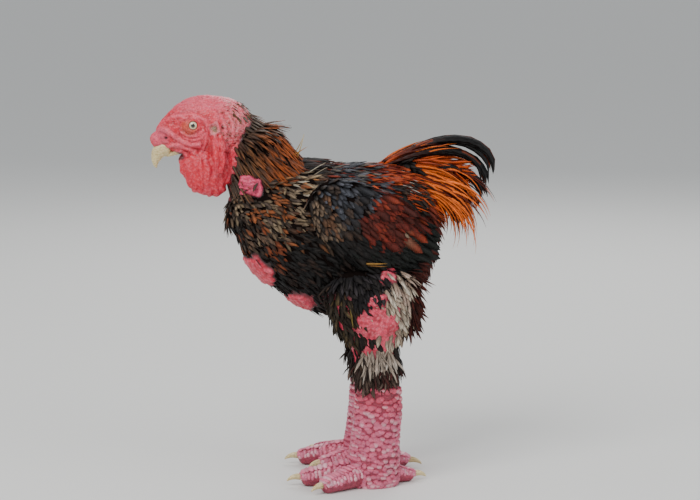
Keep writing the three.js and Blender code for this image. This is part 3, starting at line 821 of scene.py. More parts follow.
barbs, given, result = new_group(
    "barbs",
    {"Lines": ("Float", 60), "Slant": ("Float", 20), "Depth": ("Float", 0.3)},
    {"Height": "Float", "Shade": "Float"},
)
lay = node(barbs, "UVMap", {"uv_map": "Feather"}).outputs["UV"]
split = node(barbs, "SeparateXYZ", Vector=lay)
aside = math_node(barbs, "ABSOLUTE", math_node(barbs, "SUBTRACT", split.outputs["X"], 0.5))
slanted = math_node(barbs, "MULTIPLY", aside, given.outputs["Slant"])
run = math_node(barbs, "MULTIPLY", split.outputs["Y"], given.outputs["Lines"])
wave = math_node(barbs, "SINE", math_node(barbs, "SUBTRACT", run, slanted))
spread = node(barbs, "TexNoise", Vector=node(barbs, "TexCoord").outputs["Object"], Scale=420.0)
wave = math_node(barbs, "MULTIPLY", wave, spread.outputs["Fac"])
shaft = node(barbs, "MapRange", Value=aside, From_Min=0.0, From_Max=0.07, To_Min=0.7, To_Max=0.0).outputs[0]
# the Shade result is painted shade, darker between the barb lines by the Depth slider
darkest = math_node(barbs, "SUBTRACT", 1.0, given.outputs["Depth"])
shade = node(barbs, "MapRange", Value=wave, From_Min=-0.6, From_Max=0.6, To_Min=darkest, To_Max=1.0)
give(barbs, result, Height=math_node(barbs, "ADD", wave, shaft), Shade=shade.outputs[0])
print("groups", [tree.name for tree in bpy.data.node_groups])


# %% Materials
def new_material(name, roughness, **fixed):
    material = bpy.data.materials.new(name)
    material.use_nodes = True
    tree = material.node_tree
    surface = tree.nodes["Principled BSDF"]
    set_sockets(surface, Roughness=roughness, **fixed)
    return material, tree, surface


def tinted(tree, surface, shade, scale, amount):
    """Base colour: the tint attribute, darkened by the painted shade in `shade` and made uneven by the mottle
    group.
    """
    colour = node(tree, "Attribute", {"attribute_name": "tint"}).outputs["Color"]
    uneven = node(tree, "Group", {"node_tree": mottle}, Color=colour, Scale=scale, Amount=amount)
    shaded = node(tree, "HueSaturation", Value=shade, Color=uneven.outputs["Color"])
    tree.links.new(shaded.outputs["Color"], surface.inputs["Base Color"])


def bumped(tree, surface, height, distance, strength):
    bump = node(tree, "Bump", Height=height, Distance=distance, Strength=strength)
    tree.links.new(bump.outputs["Normal"], surface.inputs["Normal"])


def flesh_material(name, scale, groove, distance, roughness, **more):
    material, tree, surface = new_material(name, roughness, Subsurface_Scale=0.004, **more)
    fine = node(tree, "Group", {"node_tree": grain_group}, Scale=scale, Groove=groove)
    tinted(tree, surface, fine.outputs["Shade"], 90.0, 0.22)
    bumped(tree, surface, fine.outputs["Height"], distance, 0.8)
    return material


def feather_material(name, lines, slant, depth, roughness):
    material, tree, surface = new_material(name, roughness, Sheen_Weight=0.0, Specular_IOR_Level=0.25)
    lined = node(tree, "Group", {"node_tree": barbs}, Lines=lines, Slant=slant, Depth=depth)
    tinted(tree, surface, lined.outputs["Shade"], 140.0, 0.45)
    bumped(tree, surface, lined.outputs["Height"], 0.0004, 0.6)
    return material


SKIN = flesh_material("bare_skin", 520.0, 0.3, 0.0006, 0.42, Subsurface_Weight=0.12)
# matt material for the skin under the coat, whose near-black tint is painted shade
HIDDEN_SKIN = flesh_material("hidden_skin", 520.0, 0.3, 0.0006, 0.95, Specular_IOR_Level=0.05)
SCALE = flesh_material("leg_scale", 900.0, 0.2, 0.0003, 0.45, Subsurface_Weight=0.12)
FEATHER = feather_material("feather", 70.0, 26.0, 0.4, 0.62)
PLUME = feather_material("plume", 90.0, 12.0, 0.3, 0.45)
DOWN = feather_material("down", 30.0, 10.0, 0.3, 0.85)
skin.data.materials.append(SKIN)
skin.data.materials.append(HIDDEN_SKIN)
dark_point = tint.sum(axis=1) < DARK
hidden = [int(all(dark_point[i] for i in face.vertices)) for face in skin.data.polygons]
skin.data.polygons.foreach_set("material_index", hidden)
print("materials", [material.name for material in bpy.data.materials])

# %% [markdown]
# ## Many from one
# A bird carries thousands of feathers and scales of a few kinds. Each kind is one small closed shape,
# made with bmesh: a flat tube for a feather, a squashed ball for a scale. `many` copies it to each root
# with its own length, width, bend and colours, worked out for all copies at once as arrays.


# %% Templates
def as_template(mesh):
    """A small bmesh as arrays: places (across, out, along) and faces."""
    mesh.verts.index_update()
    spots = np.array([vert.co for vert in mesh.verts])
    faces = [[vert.index for vert in face.verts] for face in mesh.faces]
    mesh.free()
    return spots, faces


def blade(steps):
    """A feather's shape before it is bent: four corners round, `steps` long, along Z from 0 to 1."""
    mesh = bmesh.new()
    bmesh.ops.create_cone(mesh, cap_ends=True, segments=4, radius1=1, radius2=1, depth=1)
    long_edges = [edge for edge in mesh.edges if abs(edge.verts[0].co.z - edge.verts[1].co.z) > 0.5]
    bmesh.ops.subdivide_edges(mesh, edges=long_edges, cuts=steps - 1)
    bmesh.ops.translate(mesh, vec=(0, 0, 0.5), verts=mesh.verts)
    return as_template(mesh)


def knob_shape(sides=8, rings=5):
    mesh = bmesh.new()
    bmesh.ops.create_uvsphere(mesh, u_segments=sides, v_segments=rings, radius=1)
    bmesh.ops.rotate(mesh, matrix=Matrix.Rotation(math.pi / 2, 3, "X"), verts=mesh.verts)
    bmesh.ops.scale(mesh, vec=(1, 1, 0.5), verts=mesh.verts)
    bmesh.ops.translate(mesh, vec=(0, 0, 0.5), verts=mesh.verts)
    return as_template(mesh)


BLADE_4 = blade(4)
BLADE_6 = blade(6)
BLADE_12 = blade(12)
KNOB = knob_shape()
print("faces: feather", len(BLADE_4[1]), "long plume", len(BLADE_12[1]), "scale", len(KNOB[1]))


# %% Many
ALL_ROOTS = []
GROUND = 0.0002  # the lowest that any feather or scale reaches
ARC_STEPS = 24  # short pieces that a bent feather's course is added up from
BAKE_PATCH = 0.003  # the size of one copy on the unwrap for baking


def rounded(s):
    return np.minimum(1, 0.35 + 2.6 * s) * np.sqrt(np.maximum(0, 1 - s**5)) + 0.02


def pointed(s):
    return np.minimum(1, 0.5 + 2.2 * s) * np.minimum(1, 1.6 * (1 - s)) + 0.03


def even(s):
    return np.ones_like(s)


def column(value, count):
    return np.broadcast_to(np.asarray(value, float), (count,)).copy()


def many(name, template, at, length, width, base, tip, bend=0.0, late=1.0, pulls=None, **how):
    """Copies a template to each root. `at` holds the roots; sizes are one value, or one for each root."""
    roots, ways, outs, uvs = at["roots"], at["ways"], at["outs"], at["uvs"]
    if how.get("covers", True):
        ALL_ROOTS.append(roots)
    count = len(roots)
    rng = np.random.default_rng(how.get("seed", 1))
    spots, faces = template
    across_share, out_share, s = spots.T
    thick = how.get("thick", 0.0004)
    length, width, bend, late, thick = (column(v, count) for v in (length, width, bend, late, thick))
    pulls = -outs if pulls is None else np.broadcast_to(pulls, outs.shape)
    pulls = unit(pulls - ways * np.sum(ways * pulls, axis=1, keepdims=True))
    axis = np.cross(ways, pulls)
    fine = np.linspace(0, 1, ARC_STEPS + 1)
    fine_turn = bend[:, None] * fine ** late[:, None]
    halves = [(f[:, 1:] + f[:, :-1]) / (2 * ARC_STEPS) for f in (np.cos(fine_turn), np.sin(fine_turn))]
    ahead, aside = (np.concatenate([np.zeros((count, 1)), np.cumsum(h, axis=1)], axis=1) for h in halves)
    step = np.rint(s * ARC_STEPS).astype(int)
    turn = bend[:, None] * s ** late[:, None]
    cos, sin = np.cos(turn)[..., None], np.sin(turn)[..., None]
    w, p, k = ways[:, None], pulls[:, None], axis[:, None]
    centre = roots[:, None] + length[:, None, None] * (ahead[:, step, None] * w + aside[:, step, None] * p)
    flat = np.sum(outs * pulls, axis=1)[:, None, None]
    stood = np.sum(outs * axis, axis=1)[:, None, None]
    face = flat * (cos * p - sin * w) + stood * k
    across = np.cross(face, cos * w + sin * p)
    ragged = 1 + how.get("rag", 0.0) * rng.uniform(-1, 1, (count, len(s))) * np.abs(across_share)
    half = width[:, None] / 2 * how.get("outline", rounded)(s) * ragged
    rise = out_share * thick[:, None] * (1 - 0.5 * s) - how.get("camber", 0.25) * np.abs(across_share) * half
    points = centre + across * (across_share * half)[..., None] + face * rise[..., None]
    points[..., 2] = np.maximum(points[..., 2], GROUND)
    shade = ramp(s, *how.get("fade", (0.3, 1.0)))[None, :, None]
    colours = base[:, None] * (1 - shade) + tip[:, None] * shade
    corners = np.concatenate([np.array(face_corners) for face_corners in faces])
    sizes = np.array([len(face_corners) for face_corners in faces])
    data = bpy.data.meshes.new(name)
    data.vertices.add(count * len(s))
    data.vertices.foreach_set("co", points.ravel())
    loops = (corners[None] + np.arange(count)[:, None] * len(s)).ravel()
    data.loops.add(len(loops))
    data.loops.foreach_set("vertex_index", loops)
    starts = np.concatenate([[0], np.cumsum(np.tile(sizes, count))[:-1]])
    data.polygons.add(len(starts))
    data.polygons.foreach_set("loop_start", starts)
    data.polygons.foreach_set("use_smooth", np.ones(len(starts), bool))
    data.update(calc_edges=True)
    flat_uv = np.stack([across_share / 2 + 0.5, s], axis=1)[corners]
    for layer_name, uv in (  # the feather's own lines, and the unwrap for baking
        ("Feather", np.tile(flat_uv, (count, 1))),
        ("OFBake", (uvs[:, None] + BAKE_PATCH * (flat_uv[None] - 0.5)).reshape(-1, 2)),
    ):
        data.uv_layers.new(name=layer_name).data.foreach_set("uv", uv.ravel())
    give_tint(data, colours.reshape(-1, 3))
    piece = bpy.data.objects.new(name, data)
    bpy.context.collection.objects.link(piece)
    piece.data.materials.append(how.get("material", FEATHER))
    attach(piece, BODY)
    triangles = int((sizes - 2).sum()) * count
    print(name, count, "copies,", triangles, "triangles")
    return piece


# %% [markdown]
# ## Where feathers root
# Roots are strewn evenly over a form, then set on the skin below. A root that would lie inside another
# form is left out, since the skin is far from it. The form gives the way out and the place on its unwrap.


# %% Roots
skin_tree = BVHTree.FromPolygons([Vector(p) for p in spots], [tuple(p.vertices) for p in skin.data.polygons])
THROWS = 50000  # random places tried on a form, thinned to one in each small cube
BREAST_RISE = 0.011  # how much further the bare breast's skin may lie


def on_skin(points):
    """The nearest points of the skin, the ways out there, and how far they are."""
    found = [skin_tree.find_nearest(Vector(point)) for point in points]
    return [np.array([one[k] for one in found]) for k in (0, 1, 3)]


def strew(form, spacing, seed, depth=0.0, t_range=(0.0, 1.0), turns=(-180, 180), tile=(0, 1), miss=0.0035):
    """Roots about `spacing` apart on a form, on its t range and its range of degrees round."""
    rng = np.random.default_rng(seed)
    t = rng.uniform(*t_range, THROWS)
    angle = np.radians(rng.uniform(*turns, THROWS))
    points = form.skin(t, angle, -depth)
    _, first = np.unique(np.floor(points / spacing).astype(int), axis=0, return_index=True)
    t, angle, points = t[first], angle[first], points[first]
    outs = form.facing(t, angle)
    uvs = np.stack([(tile[0] + t) / tile[1], (angle / (2 * math.pi)) % 1.0], axis=1)
    roots, _, reach = on_skin(points)
    kept = reach < miss + BREAST_RISE * bareness(points, BARE_BREAST)
    at = {"roots": roots, "outs": outs, "uvs": uvs, "t": t}
    return {**only(at, kept), "ways": form.along(t[kept])}


def on_form(form, t, angle, depth, uvs):
    """Roots at given places of a form, `depth` inside it."""
    roots = form.skin(t, angle, -depth)
    return {"roots": roots, "outs": form.facing(t, angle), "ways": form.along(t), "uvs": uvs, "t": t}


def only(at, mask):
    """The roots that the mask keeps."""
    return {key: value[mask] for key, value in at.items()}


def both(*sets):
    """Sets of roots joined into one."""
    return {key: np.concatenate([one[key] for one in sets]) for key in sets[0]}


def mirrored(at):
    """The same roots on the bird's right side."""
    flip = np.array((1, -1, 1))
    turned = {key: value * flip if key in ("roots", "outs", "ways") else value for key, value in at.items()}
    turned["uvs"] = at["uvs"] * (1, -1) + (0, 1)
    return turned


def pair(name, template, at, length, width, base, tip, **how):
    """The same copies on the left side and, mirrored, on the right."""
    pieces = {}
    for side, here in (("left", at), ("right", mirrored(at))):
        pieces[side] = many(f"{name}_{side}", template, here, length, width, base, tip, **how)
    return pieces


def laid(at, lie, lift=0.15, stray=0.15, seed=1, sink=0.002):
    """Lays each feather along `lie`, lifted and turned a little, its root sunk in the skin."""
    rng = np.random.default_rng(seed)
    outs = at["outs"]
    count = len(outs)
    lie = np.broadcast_to(lie, outs.shape)
    way = unit(lie - outs * np.sum(lie * outs, axis=1, keepdims=True))
    aside = np.cross(outs, way)
    turn = rng.normal(0, stray, count)[:, None]
    way = way * np.cos(turn) + aside * np.sin(turn)
    rise = (lift * rng.uniform(0.5, 1.5, count))[:, None]
    ways = unit(way + outs * rise)
    faces = unit(outs - ways * np.sum(outs * ways, axis=1, keepdims=True))
    return {**at, "ways": ways, "outs": faces, "roots": at["roots"] - outs * sink}


def varied(colours, amount, seed):
    """Colours each made lighter or darker by up to `amount`."""
    rng = np.random.default_rng(seed)
    return colours * rng.uniform(1 - amount, 1 + amount, (len(colours), 1))


print("skin tree ready")


# %% [markdown]
# ## Colours of the coat
# The cockerel is mottled: on the breast buff, chestnut and black feathers stand side by side. So a zone
# of the coat is an oval seen from the side with a colour for the roots and a few for the tips, and each
# feather takes one of them, neighbours mostly one alike.


# %% Zones
def pick(points, zones, seed):
    """Root and tip colours. The first zone is everywhere; each other is (oval, root colour, tip colours)."""
    rng = np.random.default_rng(seed)
    count = len(points)
    everywhere = np.full(count, 0.25)
    pull = np.stack([patch(points, *zone[0], soft=0.6) if zone[0] else everywhere for zone in zones])
    chosen = (pull * rng.uniform(0.55, 1.0, pull.shape)).argmax(axis=0)
    cluster = 0.5 + 0.45 * drift(points, 0.026, seed + 3) + rng.normal(0, 0.13, count)
    base = np.zeros((count, 3))
    tip = np.zeros((count, 3))
    for index, (_, root_colour, tips) in enumerate(zones):
        mine = chosen == index
        picks = (np.clip(cluster, 0, 0.999) * len(tips)).astype(int)
        base[mine] = linear(root_colour)
        tip[mine] = np.array([linear(colour) for colour in tips])[picks[mine]]
    return varied(base, 0.25, seed + 1), varied(tip, 0.25, seed + 2)


BODY_ZONES = [
    (None, "16110f", ("241a15", "1a1512", "3a281c", "2c1c14")),
    ((-75, 372, 66, 46), "3c3026",
     ("8c7860", "7a6850", "6a5642", "54453a", "3a3028", "241c16", "4a2e1e", "7a3e20", "8e4e28")),
    ((-100, 330, 40, 34), "18120f", ("6b5240", "4a3a2c", "2a1f18", "1c1511", "3c2a1e", "7a3a1c")),
    ((-5, 345, 55, 34), "110e0c", ("241e1a", "1a1613", "120e0c", "2a1f18", "3c2a1c", "6b4226")),
    ((-30, 428, 22, 10), "120f0f", ("1c1a1c", "5a2412", "26211f", "15120f")),
    ((-38, 396, 26, 13, -20), "4a3a2e", ("c4ac8a", "a88e6c", "b87a4a", "8a7458", "c9bba4")),
    ((35, 396, 38, 36), "1c1d21", ("46474d", "37383d", "56555a", "60584f", "2a282a", "2a282a")),
    ((62, 414, 34, 16), "5a1e0c", ("a8401a", "8c2e12", "b84a1c", "7a2410")),
    ((-40, 292, 80, 36, 20), "0b0908", ("120e0c", "0e0a08", "1c1410", "2a1a12")),
    ((-75, 300, 18, 14), "1a100c", ("7a3a1c", "5a2c16", "2a1a12")),
    ((135, 320, 24, 60), "2a0d07", ("4a1509", "5c1c0c", "3a1208", "6b2410")),
]

# %% [markdown]
# ## Breast, back and flanks
# Flat feathers with ragged edges, smaller at the breast's top and longer behind, lie towards the tail and
# overlap like tiles. They are strewn over the torso's form, and left out where the skin is bare.

# %% Body feathers
at = strew(torso, 0.0048, 21, depth=COAT["torso"], t_range=(0.0, 0.96), miss=0.004)
at = both(at, strew(torso, 0.0053, 20, depth=COAT["torso"], t_range=(0.955, 1.0), miss=0.006))
at = only(at, bareness(at["roots"], BARE_BREAST) <= 0.45)
x_mm, y_mm, z_mm = (at["roots"] / MM).T
lie = np.stack([0.75 + 0 * x_mm, 0.15 * np.sign(y_mm), -0.42 - 0.25 * ramp(-z_mm, -330, -230)], axis=1)
lie[:, 2] = np.where((x_mm > 30) & (z_mm > 395), -0.05, lie[:, 2])
lie[:, 2] = np.where(x_mm > 118, -1.1, lie[:, 2])
at = laid(at, lie, lift=0.27 + 0.25 * ramp(x_mm, 110, 150), stray=0.3, seed=22)
back = ramp(x_mm, -60, 60)
base, tip = pick(at["roots"], BODY_ZONES, 23)
rng = np.random.default_rng(24)
length = (0.019 + 0.008 * back) * rng.uniform(0.75, 1.3, len(x_mm))
width = (0.0048 + 0.0022 * back) * rng.uniform(0.75, 1.3, len(x_mm))
for name, mine in (("breast_feathers", x_mm < -20), ("back_feathers", x_mm >= -20)):
    many(
        name, BLADE_4, only(at, mine), length[mine], width[mine], base[mine], tip[mine],
        bend=0.3, rag=0.45, fade=(0.1, 0.75), seed=25, slot="body_feathers",
    )

# %% [markdown]
# ## Hackle
# Narrow pointed plumes hang from the back of the head over the neck as a cape, brown-grey at the root
# and rusty at the tip. They lie against the neck's path, so towards the body.

# %% Hackle
at = strew(neck, 0.0047, 31, depth=COAT["neck"], t_range=(0.02, 0.97), tile=(0, 3), miss=0.006)
rear = strew(skull, 0.0047, 32, t_range=(0.68, 0.97), turns=(-40, 220), tile=(1, 3), miss=0.006)
rear["ways"] = np.tile(unit(np.array((-0.5, 0.0, 0.85))), (len(rear["t"]), 1))
top = strew(nape, 0.0045, 38, tile=(2, 3), miss=0.004)
top["ways"] = -top["ways"]
at = both(at, rear, top)
x_mm, y_mm, z_mm = (at["roots"] / MM).T
rng = np.random.default_rng(30)
inside = x_mm - hackle_edge(z_mm) + rng.normal(0, 3, len(x_mm)) > 0
on_crown = (z_mm > 492) & (rng.random(len(x_mm)) < ramp(x_mm, -140, -100))
at = only(at, (bareness(at["roots"], BARE_BREAST) < 0.4) & (inside | on_crown))
x_mm, y_mm, z_mm = (at["roots"] / MM).T
backward = 0.2 + 0.6 * ramp(x_mm, -110, -50) * ramp(-z_mm, -455, -400)
sweep = np.stack([backward, 0.2 * np.sign(y_mm), 0 * x_mm], axis=1)
at = laid(at, -at["ways"] + sweep, lift=0.16 - 0.07 * ramp(z_mm, 440, 465), stray=0.13, seed=33)
low = ramp(-z_mm, -455, -385)
count = len(x_mm)
base = between("4a3a2e", "6b3a20", ramp(x_mm, -105, -60))
tip = between("8a5a36", "c05c22", ramp(x_mm, -112, -75))
rng = np.random.default_rng(34)
dark = (rng.random(count) < 0.28)[:, None]
tip = np.where(dark, linear("3a2014"), tip)
grey = (rng.random(count) < 0.5 * ramp(z_mm, 455, 490))[:, None]
tip = np.where(grey, linear("8a7f72"), tip)
size = rng.uniform(0.8, 1.2, count)
length = (0.018 + 0.012 * ramp(-z_mm, -495, -470) + 0.03 * low) * size
many(
    "hackle", BLADE_6, at, length, 0.0044 * size, varied(base, 0.2, 35), varied(tip, 0.3, 36),
    bend=0.14, late=1.5, rag=0.15, outline=pointed, seed=37, slot="hackle", material=PLUME,
)

# %% [markdown]
# ## Wings
# The folded wing is small coverts, with tiers of longer and longer feathers among them whose tips make
# the wing's rear edge. The bow is red-brown, the lower half black with a green gloss and chestnut hems.

# %% Wing feathers
WING_ZONES = [
    (None, "15110f", ("241a15", "1a1512", "3a281c", "2c2420")),
    ((22, 392, 36, 28), "1c1d21", ("4c4e56", "3a3c43", "585860", "2a2a2e", "241f1e", "4a3a30")),
    ((-12, 370, 20, 34), "1b1512", ("6b4a34", "3a3430", "2a2019", "7a6450")),
    ((70, 366, 38, 40, -15), "4a170e", ("4a180e", "641c10", "7a2616", "8e341c", "6e2216")),
    ((92, 346, 6, 18, 20), "6a4a38", ("b89e86", "a08a72", "8e341c")),
    ((124, 362, 14, 5, -10), "6a3014", ("c07040", "8e341c")),
    ((112, 334, 25, 30, -10), "0c0f0c", ("10140f", "0e120e", "141a14", "1a2018")),
    ((70, 308, 60, 18, -12), "0b0c0a", ("10140f", "0e120e", "120e0c")),
    ((146, 334, 16, 40), "3a1209", ("7a2812", "5a1c0c", "8a3a1c")),
    ((24, 322, 50, 24), "0b0908", ("120e0c", "0e0a08", "1c1410")),
]
# Each tier: its share of the wing's path, how many feathers, their length and width in millimetres
TIERS = [
    (0.3, 7, 30, 14),
    (0.42, 8, 34, 15),
    (0.53, 8, 40, 15),
    (0.64, 8, 44, 14),
    (0.75, 8, 46, 13),
    (0.86, 7, 44, 12),
]
small = strew(wing, 0.0045, 41, depth=COAT["wing"], t_range=(0.0, 0.86), turns=(40, 300), miss=0.005)
share = np.concatenate([np.full(n, t) for t, n, _, _ in TIERS])
turns = np.radians(np.concatenate([np.linspace(105, 252, n) for _, n, _, _ in TIERS]))
rows = on_form(wing, share, turns, COAT["wing"], np.stack([share, turns / (2 * math.pi)], axis=1))
long_mm = np.concatenate([np.full(n, length) for _, n, length, _ in TIERS])
wide_mm = np.concatenate([np.full(n, width) for _, n, _, width in TIERS])
rng = np.random.default_rng(43)
count = len(small["t"])
covert_mm = rng.uniform(17, 22, count) + 14 * small["t"]
length = np.concatenate([covert_mm, long_mm * rng.uniform(0.92, 1.08, len(long_mm))]) * MM
width = np.concatenate([rng.uniform(6.5, 9, count), wide_mm]) * MM
at = both(small, rows)
steep = ramp(at["t"], 0.25, 0.9)[:, None]
lie = np.array((0.74, 0, -0.67)) * (1 - steep) + np.array((0.88, 0, -0.47)) * steep
at = laid(at, lie, lift=0.15, stray=0.1, seed=44)
base, tip = pick(at["roots"], WING_ZONES, 45)
wings = pair(
    "wing_feathers", BLADE_6, at, length, width, base, tip,
    bend=0.14, rag=0.12, seed=46, slot="wing_feathers",
)
for side, piece in wings.items():
    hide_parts("wing_" + side)

# %% [markdown]
# ## Saddle and tail
# Short red-brown feathers cover the back. Over the tail they become long narrow plumes, bright orange,
# that rise and fall over in arcs. Seven pairs of black sickles stand in the tail: the upper ones are longest
# and arch over to a down-turned tip.


# %% Saddle and tail
def arcs(roots, rise, splay):
    """Roots for plumes that fall: rise in degrees above the level, splay sideways."""
    roots = np.array(roots, float) * MM
    rise = np.radians(np.broadcast_to(rise, len(roots)))
    side = np.sign(roots[:, 1])
    ways = unit(np.stack([np.cos(rise), side * splay, np.sin(rise)], axis=1))
    outs = unit(np.stack([0 * side, side, 0.35 + 0 * side], axis=1))
    uvs = np.stack([(roots[:, 0] * 4) % 1, 0.5 + roots[:, 1] * 8], axis=1)
    return {"roots": roots, "ways": ways, "outs": outs, "uvs": uvs}


FALL = np.array((0.0, 0.0, -1.0))
at = strew(
    torso, 0.0062, 51, depth=COAT["torso"], t_range=(0.58, 0.98), turns=(25, 155), tile=(0, 2), miss=0.006
)
at = both(at, strew(tail_root, 0.0058, 52, depth=COAT["tail"], t_range=(0.28, 0.9), tile=(1, 2), miss=0.006))
x_mm, y_mm, z_mm = (at["roots"] / MM).T
apart = 0.35 * np.sign(y_mm) * ramp(np.abs(y_mm), 5, 50)
at = laid(at, np.stack([1 + 0 * x_mm, apart, 0 * x_mm], axis=1), lift=0.16, stray=0.16, seed=53)
count = len(x_mm)
near = ramp(x_mm, 60, 120)
rng = np.random.default_rng(54)
base = between("5a1e0c", "b0400f", near)
tip = between("96321a", "d9591c", near)
black = (rng.random(count) < 0.15)[:, None]
white = (np.hypot(x_mm - 84, z_mm - 410) < 9)[:, None] & (rng.random(count) < 0.7)[:, None]
tip = np.where(black, linear("241008"), np.where(white, linear("c9bdb0"), tip))
length = (0.03 + 0.014 * near) * rng.uniform(0.85, 1.2, count)
many(
    "saddle_feathers", BLADE_6, at, length, 0.0062, varied(base, 0.2, 55), varied(tip, 0.25, 56),
    bend=0.2, rag=0.15, outline=pointed, seed=57, slot="tail_feathers", material=PLUME,
)

PLUMES = 240
CREST_Z = 421  # height of the topmost plumes' roots, over the sickles
rng = np.random.default_rng(61)
share = np.tile(np.linspace(0, 1, PLUMES // 2), 2)
side = np.repeat((-1, 1), PLUMES // 2)
ahead = rng.uniform(0, 1, PLUMES) * (1 - 0.5 * share)
roots = np.stack([122 - 44 * ahead, side * (2 + 15 * share), 412 - 34 * share + 14 * ahead], axis=1)
crest = (share < 0.2) & (rng.random(PLUMES) < 0.7)
roots[crest, 0] = rng.uniform(74, 104, crest.sum())
roots[crest, 2] = CREST_Z
rise = np.where(crest, rng.uniform(26, 38, PLUMES), 30 - 24 * share - 6 * ahead + rng.uniform(-6, 6, PLUMES))
at = arcs(roots, rise, 0.06 + 0.24 * share + rng.uniform(-0.05, 0.05, PLUMES))
base = same("cc4e14", PLUMES)
tip = same("e86e24", PLUMES)
tip[rng.random(PLUMES) < 0.3] = linear("5a1e0e")
base[rng.random(PLUMES) < 0.12] = linear("5a2010")
length = np.where(crest, rng.uniform(56, 84, PLUMES), rng.uniform(92, 130, PLUMES)) * MM
bend = np.radians(np.where(crest, rng.uniform(16, 44, PLUMES), rng.uniform(82, 115, PLUMES)))
width = rng.uniform(3.4, 5.6, PLUMES) * MM
many(
    "saddle_plumes", BLADE_12, at, length, width, varied(base, 0.2, 62), varied(tip, 0.2, 63),
    bend=bend, late=1.3, pulls=FALL, outline=pointed, rag=0.1, fade=(0.0, 0.5), seed=64,
    slot="tail_feathers", material=PLUME, covers=False,
)

# Sickles from the top down, in millimetres and degrees: root, rise, length, bend, how late it bends, width
SICKLES = [
    ((80, 3, 424), 24, 184, 122, 2.8, 15),
    ((84, 8, 420), 20, 168, 116, 2.5, 13),
    ((104, 10, 404), 24, 138, 104, 1.7, 11),
    ((110, 6, 402), 14, 120, 92, 1.5, 11),
    ((122, 5, 402), 4, 100, 60, 1.3, 13),
    ((124, 5, 398), -14, 92, 44, 1.2, 14),
    ((126, 5, 394), -30, 80, 30, 1.2, 14),
]
VANES = 5  # each sickle is laid as a bundle of narrow vanes, so that it splits like a real one
columns = [np.repeat(np.array(column_values, float), VANES, axis=0) for column_values in zip(*(SICKLES * 2))]
roots, rise, length, bend, late, width = columns
roots = roots * np.repeat([(1, -1, 1), (1, 1, 1)], len(SICKLES) * VANES, axis=0)
count = len(roots)
rng = np.random.default_rng(65)
spread = np.tile(np.linspace(-1, 1, VANES), len(SICKLES) * 2)
roots = roots + np.stack([rng.uniform(-3, 3, count), rng.uniform(-1, 1, count), 0 * rise], axis=1)
at = arcs(roots, rise + 2.2 * spread, 0.03)
length = length * (1 - 0.05 * np.abs(spread)) * rng.uniform(0.96, 1.0, count) * MM
bend = np.radians(bend + 2.0 * spread + rng.uniform(-2, 2, count))
streak = (spread == 0.5)[:, None]
base = np.where(streak, linear("c4501a"), linear("3a1810"))
tip = np.where(streak, linear("5a2410"), linear("0c0a0a"))
tail = many(
    "sickles", BLADE_12, at, length, 0.5 * width * MM, base, tip, bend=bend, late=late, pulls=FALL, rag=0.2,
    fade=(0.12, 0.5), thick=0.0006, seed=66, slot="tail_feathers", material=PLUME, covers=False,
)
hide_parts("tail")

# %% [markdown]
# ## Thighs and hocks
# The thigh's feathers are downy: cream on the outside, dark in front and red-brown behind. Over the hock
# hangs a dark shaggy tuft, and between the two the skin is bare.

# %% Thigh feathers
THIGH_ZONES = [
    (None, "1c1613", ("2a2523", "3a2a20", "241c18", "4a3626")),
    ((90, 246, 30, 46), "8a7464", ("c9bba4", "b8a58e", "d8cdb9", "c0a898")),
    ((130, 250, 20, 66), "220b06", ("3a120a", "4a1a0c", "2c0f08")),
    ((18, 220, 20, 44), "241c14", ("3a3226", "4a3e2a", "2a2018", "5a4a30")),
    ((50, 275, 34, 16), "161314", ("2a2523", "3a3436", "1c1819")),
    ((64, 150, 44, 18), "2e221c", ("4a3a30", "6a564a", "3a2c24", "7a6458", "4a1c18")),
    ((66, 182, 17, 13), "8a7a6c", ("c9bdb0", "b8a898", "a8988a")),
]
down = strew(thigh, 0.0052, 71, depth=COAT["thigh"], t_range=(0.08, 0.52), miss=0.005)
rng = np.random.default_rng(70)
open_skin = (bareness(down["roots"], BARE_THIGH) > 0.4) & (down["roots"][:, 1] < -0.05)
down = only(down, ~open_skin | (rng.random(len(open_skin)) < 0.16))
tuft = strew(thigh, 0.0042, 72, depth=0.005, t_range=(0.6, 0.9), miss=0.005)
fluff = strew(thigh, 0.0045, 77, depth=COAT["thigh"], t_range=(0.04, 0.42), turns=(50, 116), miss=0.005)
hock = np.concatenate([np.zeros(len(down["t"])), np.ones(len(tuft["t"])), np.zeros(len(fluff["t"]))])
rear = np.arange(len(hock)) >= len(down["t"]) + len(tuft["t"])
at = both(down, tuft, fluff)
outer = ramp(-at["roots"][:, 1] / MM, 60, 84)  # the hock tuft hangs lowest on its outer side
lie = np.stack([0.35 - 0.25 * hock, 0 * hock, -0.94 + 0 * hock], axis=1)
at = laid(at, lie, lift=0.28 + 0.5 * hock + 0.3 * rear, stray=0.28, seed=73)
rng = np.random.default_rng(74)
base, tip = pick(at["roots"], THIGH_ZONES, 75)
base[rear] = linear("220b06")
tip[rear] = varied(same("4a160a", rear.sum()), 0.4, 78)
length = (24 - 3 * hock + 11 * hock * outer + 9 * rear) * rng.uniform(0.7, 1.3, len(hock)) * MM
width = (5.4 - 1.6 * hock) * rng.uniform(0.75, 1.3, len(hock)) * MM
pair(
    "thigh_feathers", BLADE_4, at, length, width, base, tip,
    bend=0.35 + 0.55 * hock, rag=0.5, seed=76, slot="thigh_coat", material=DOWN,
)
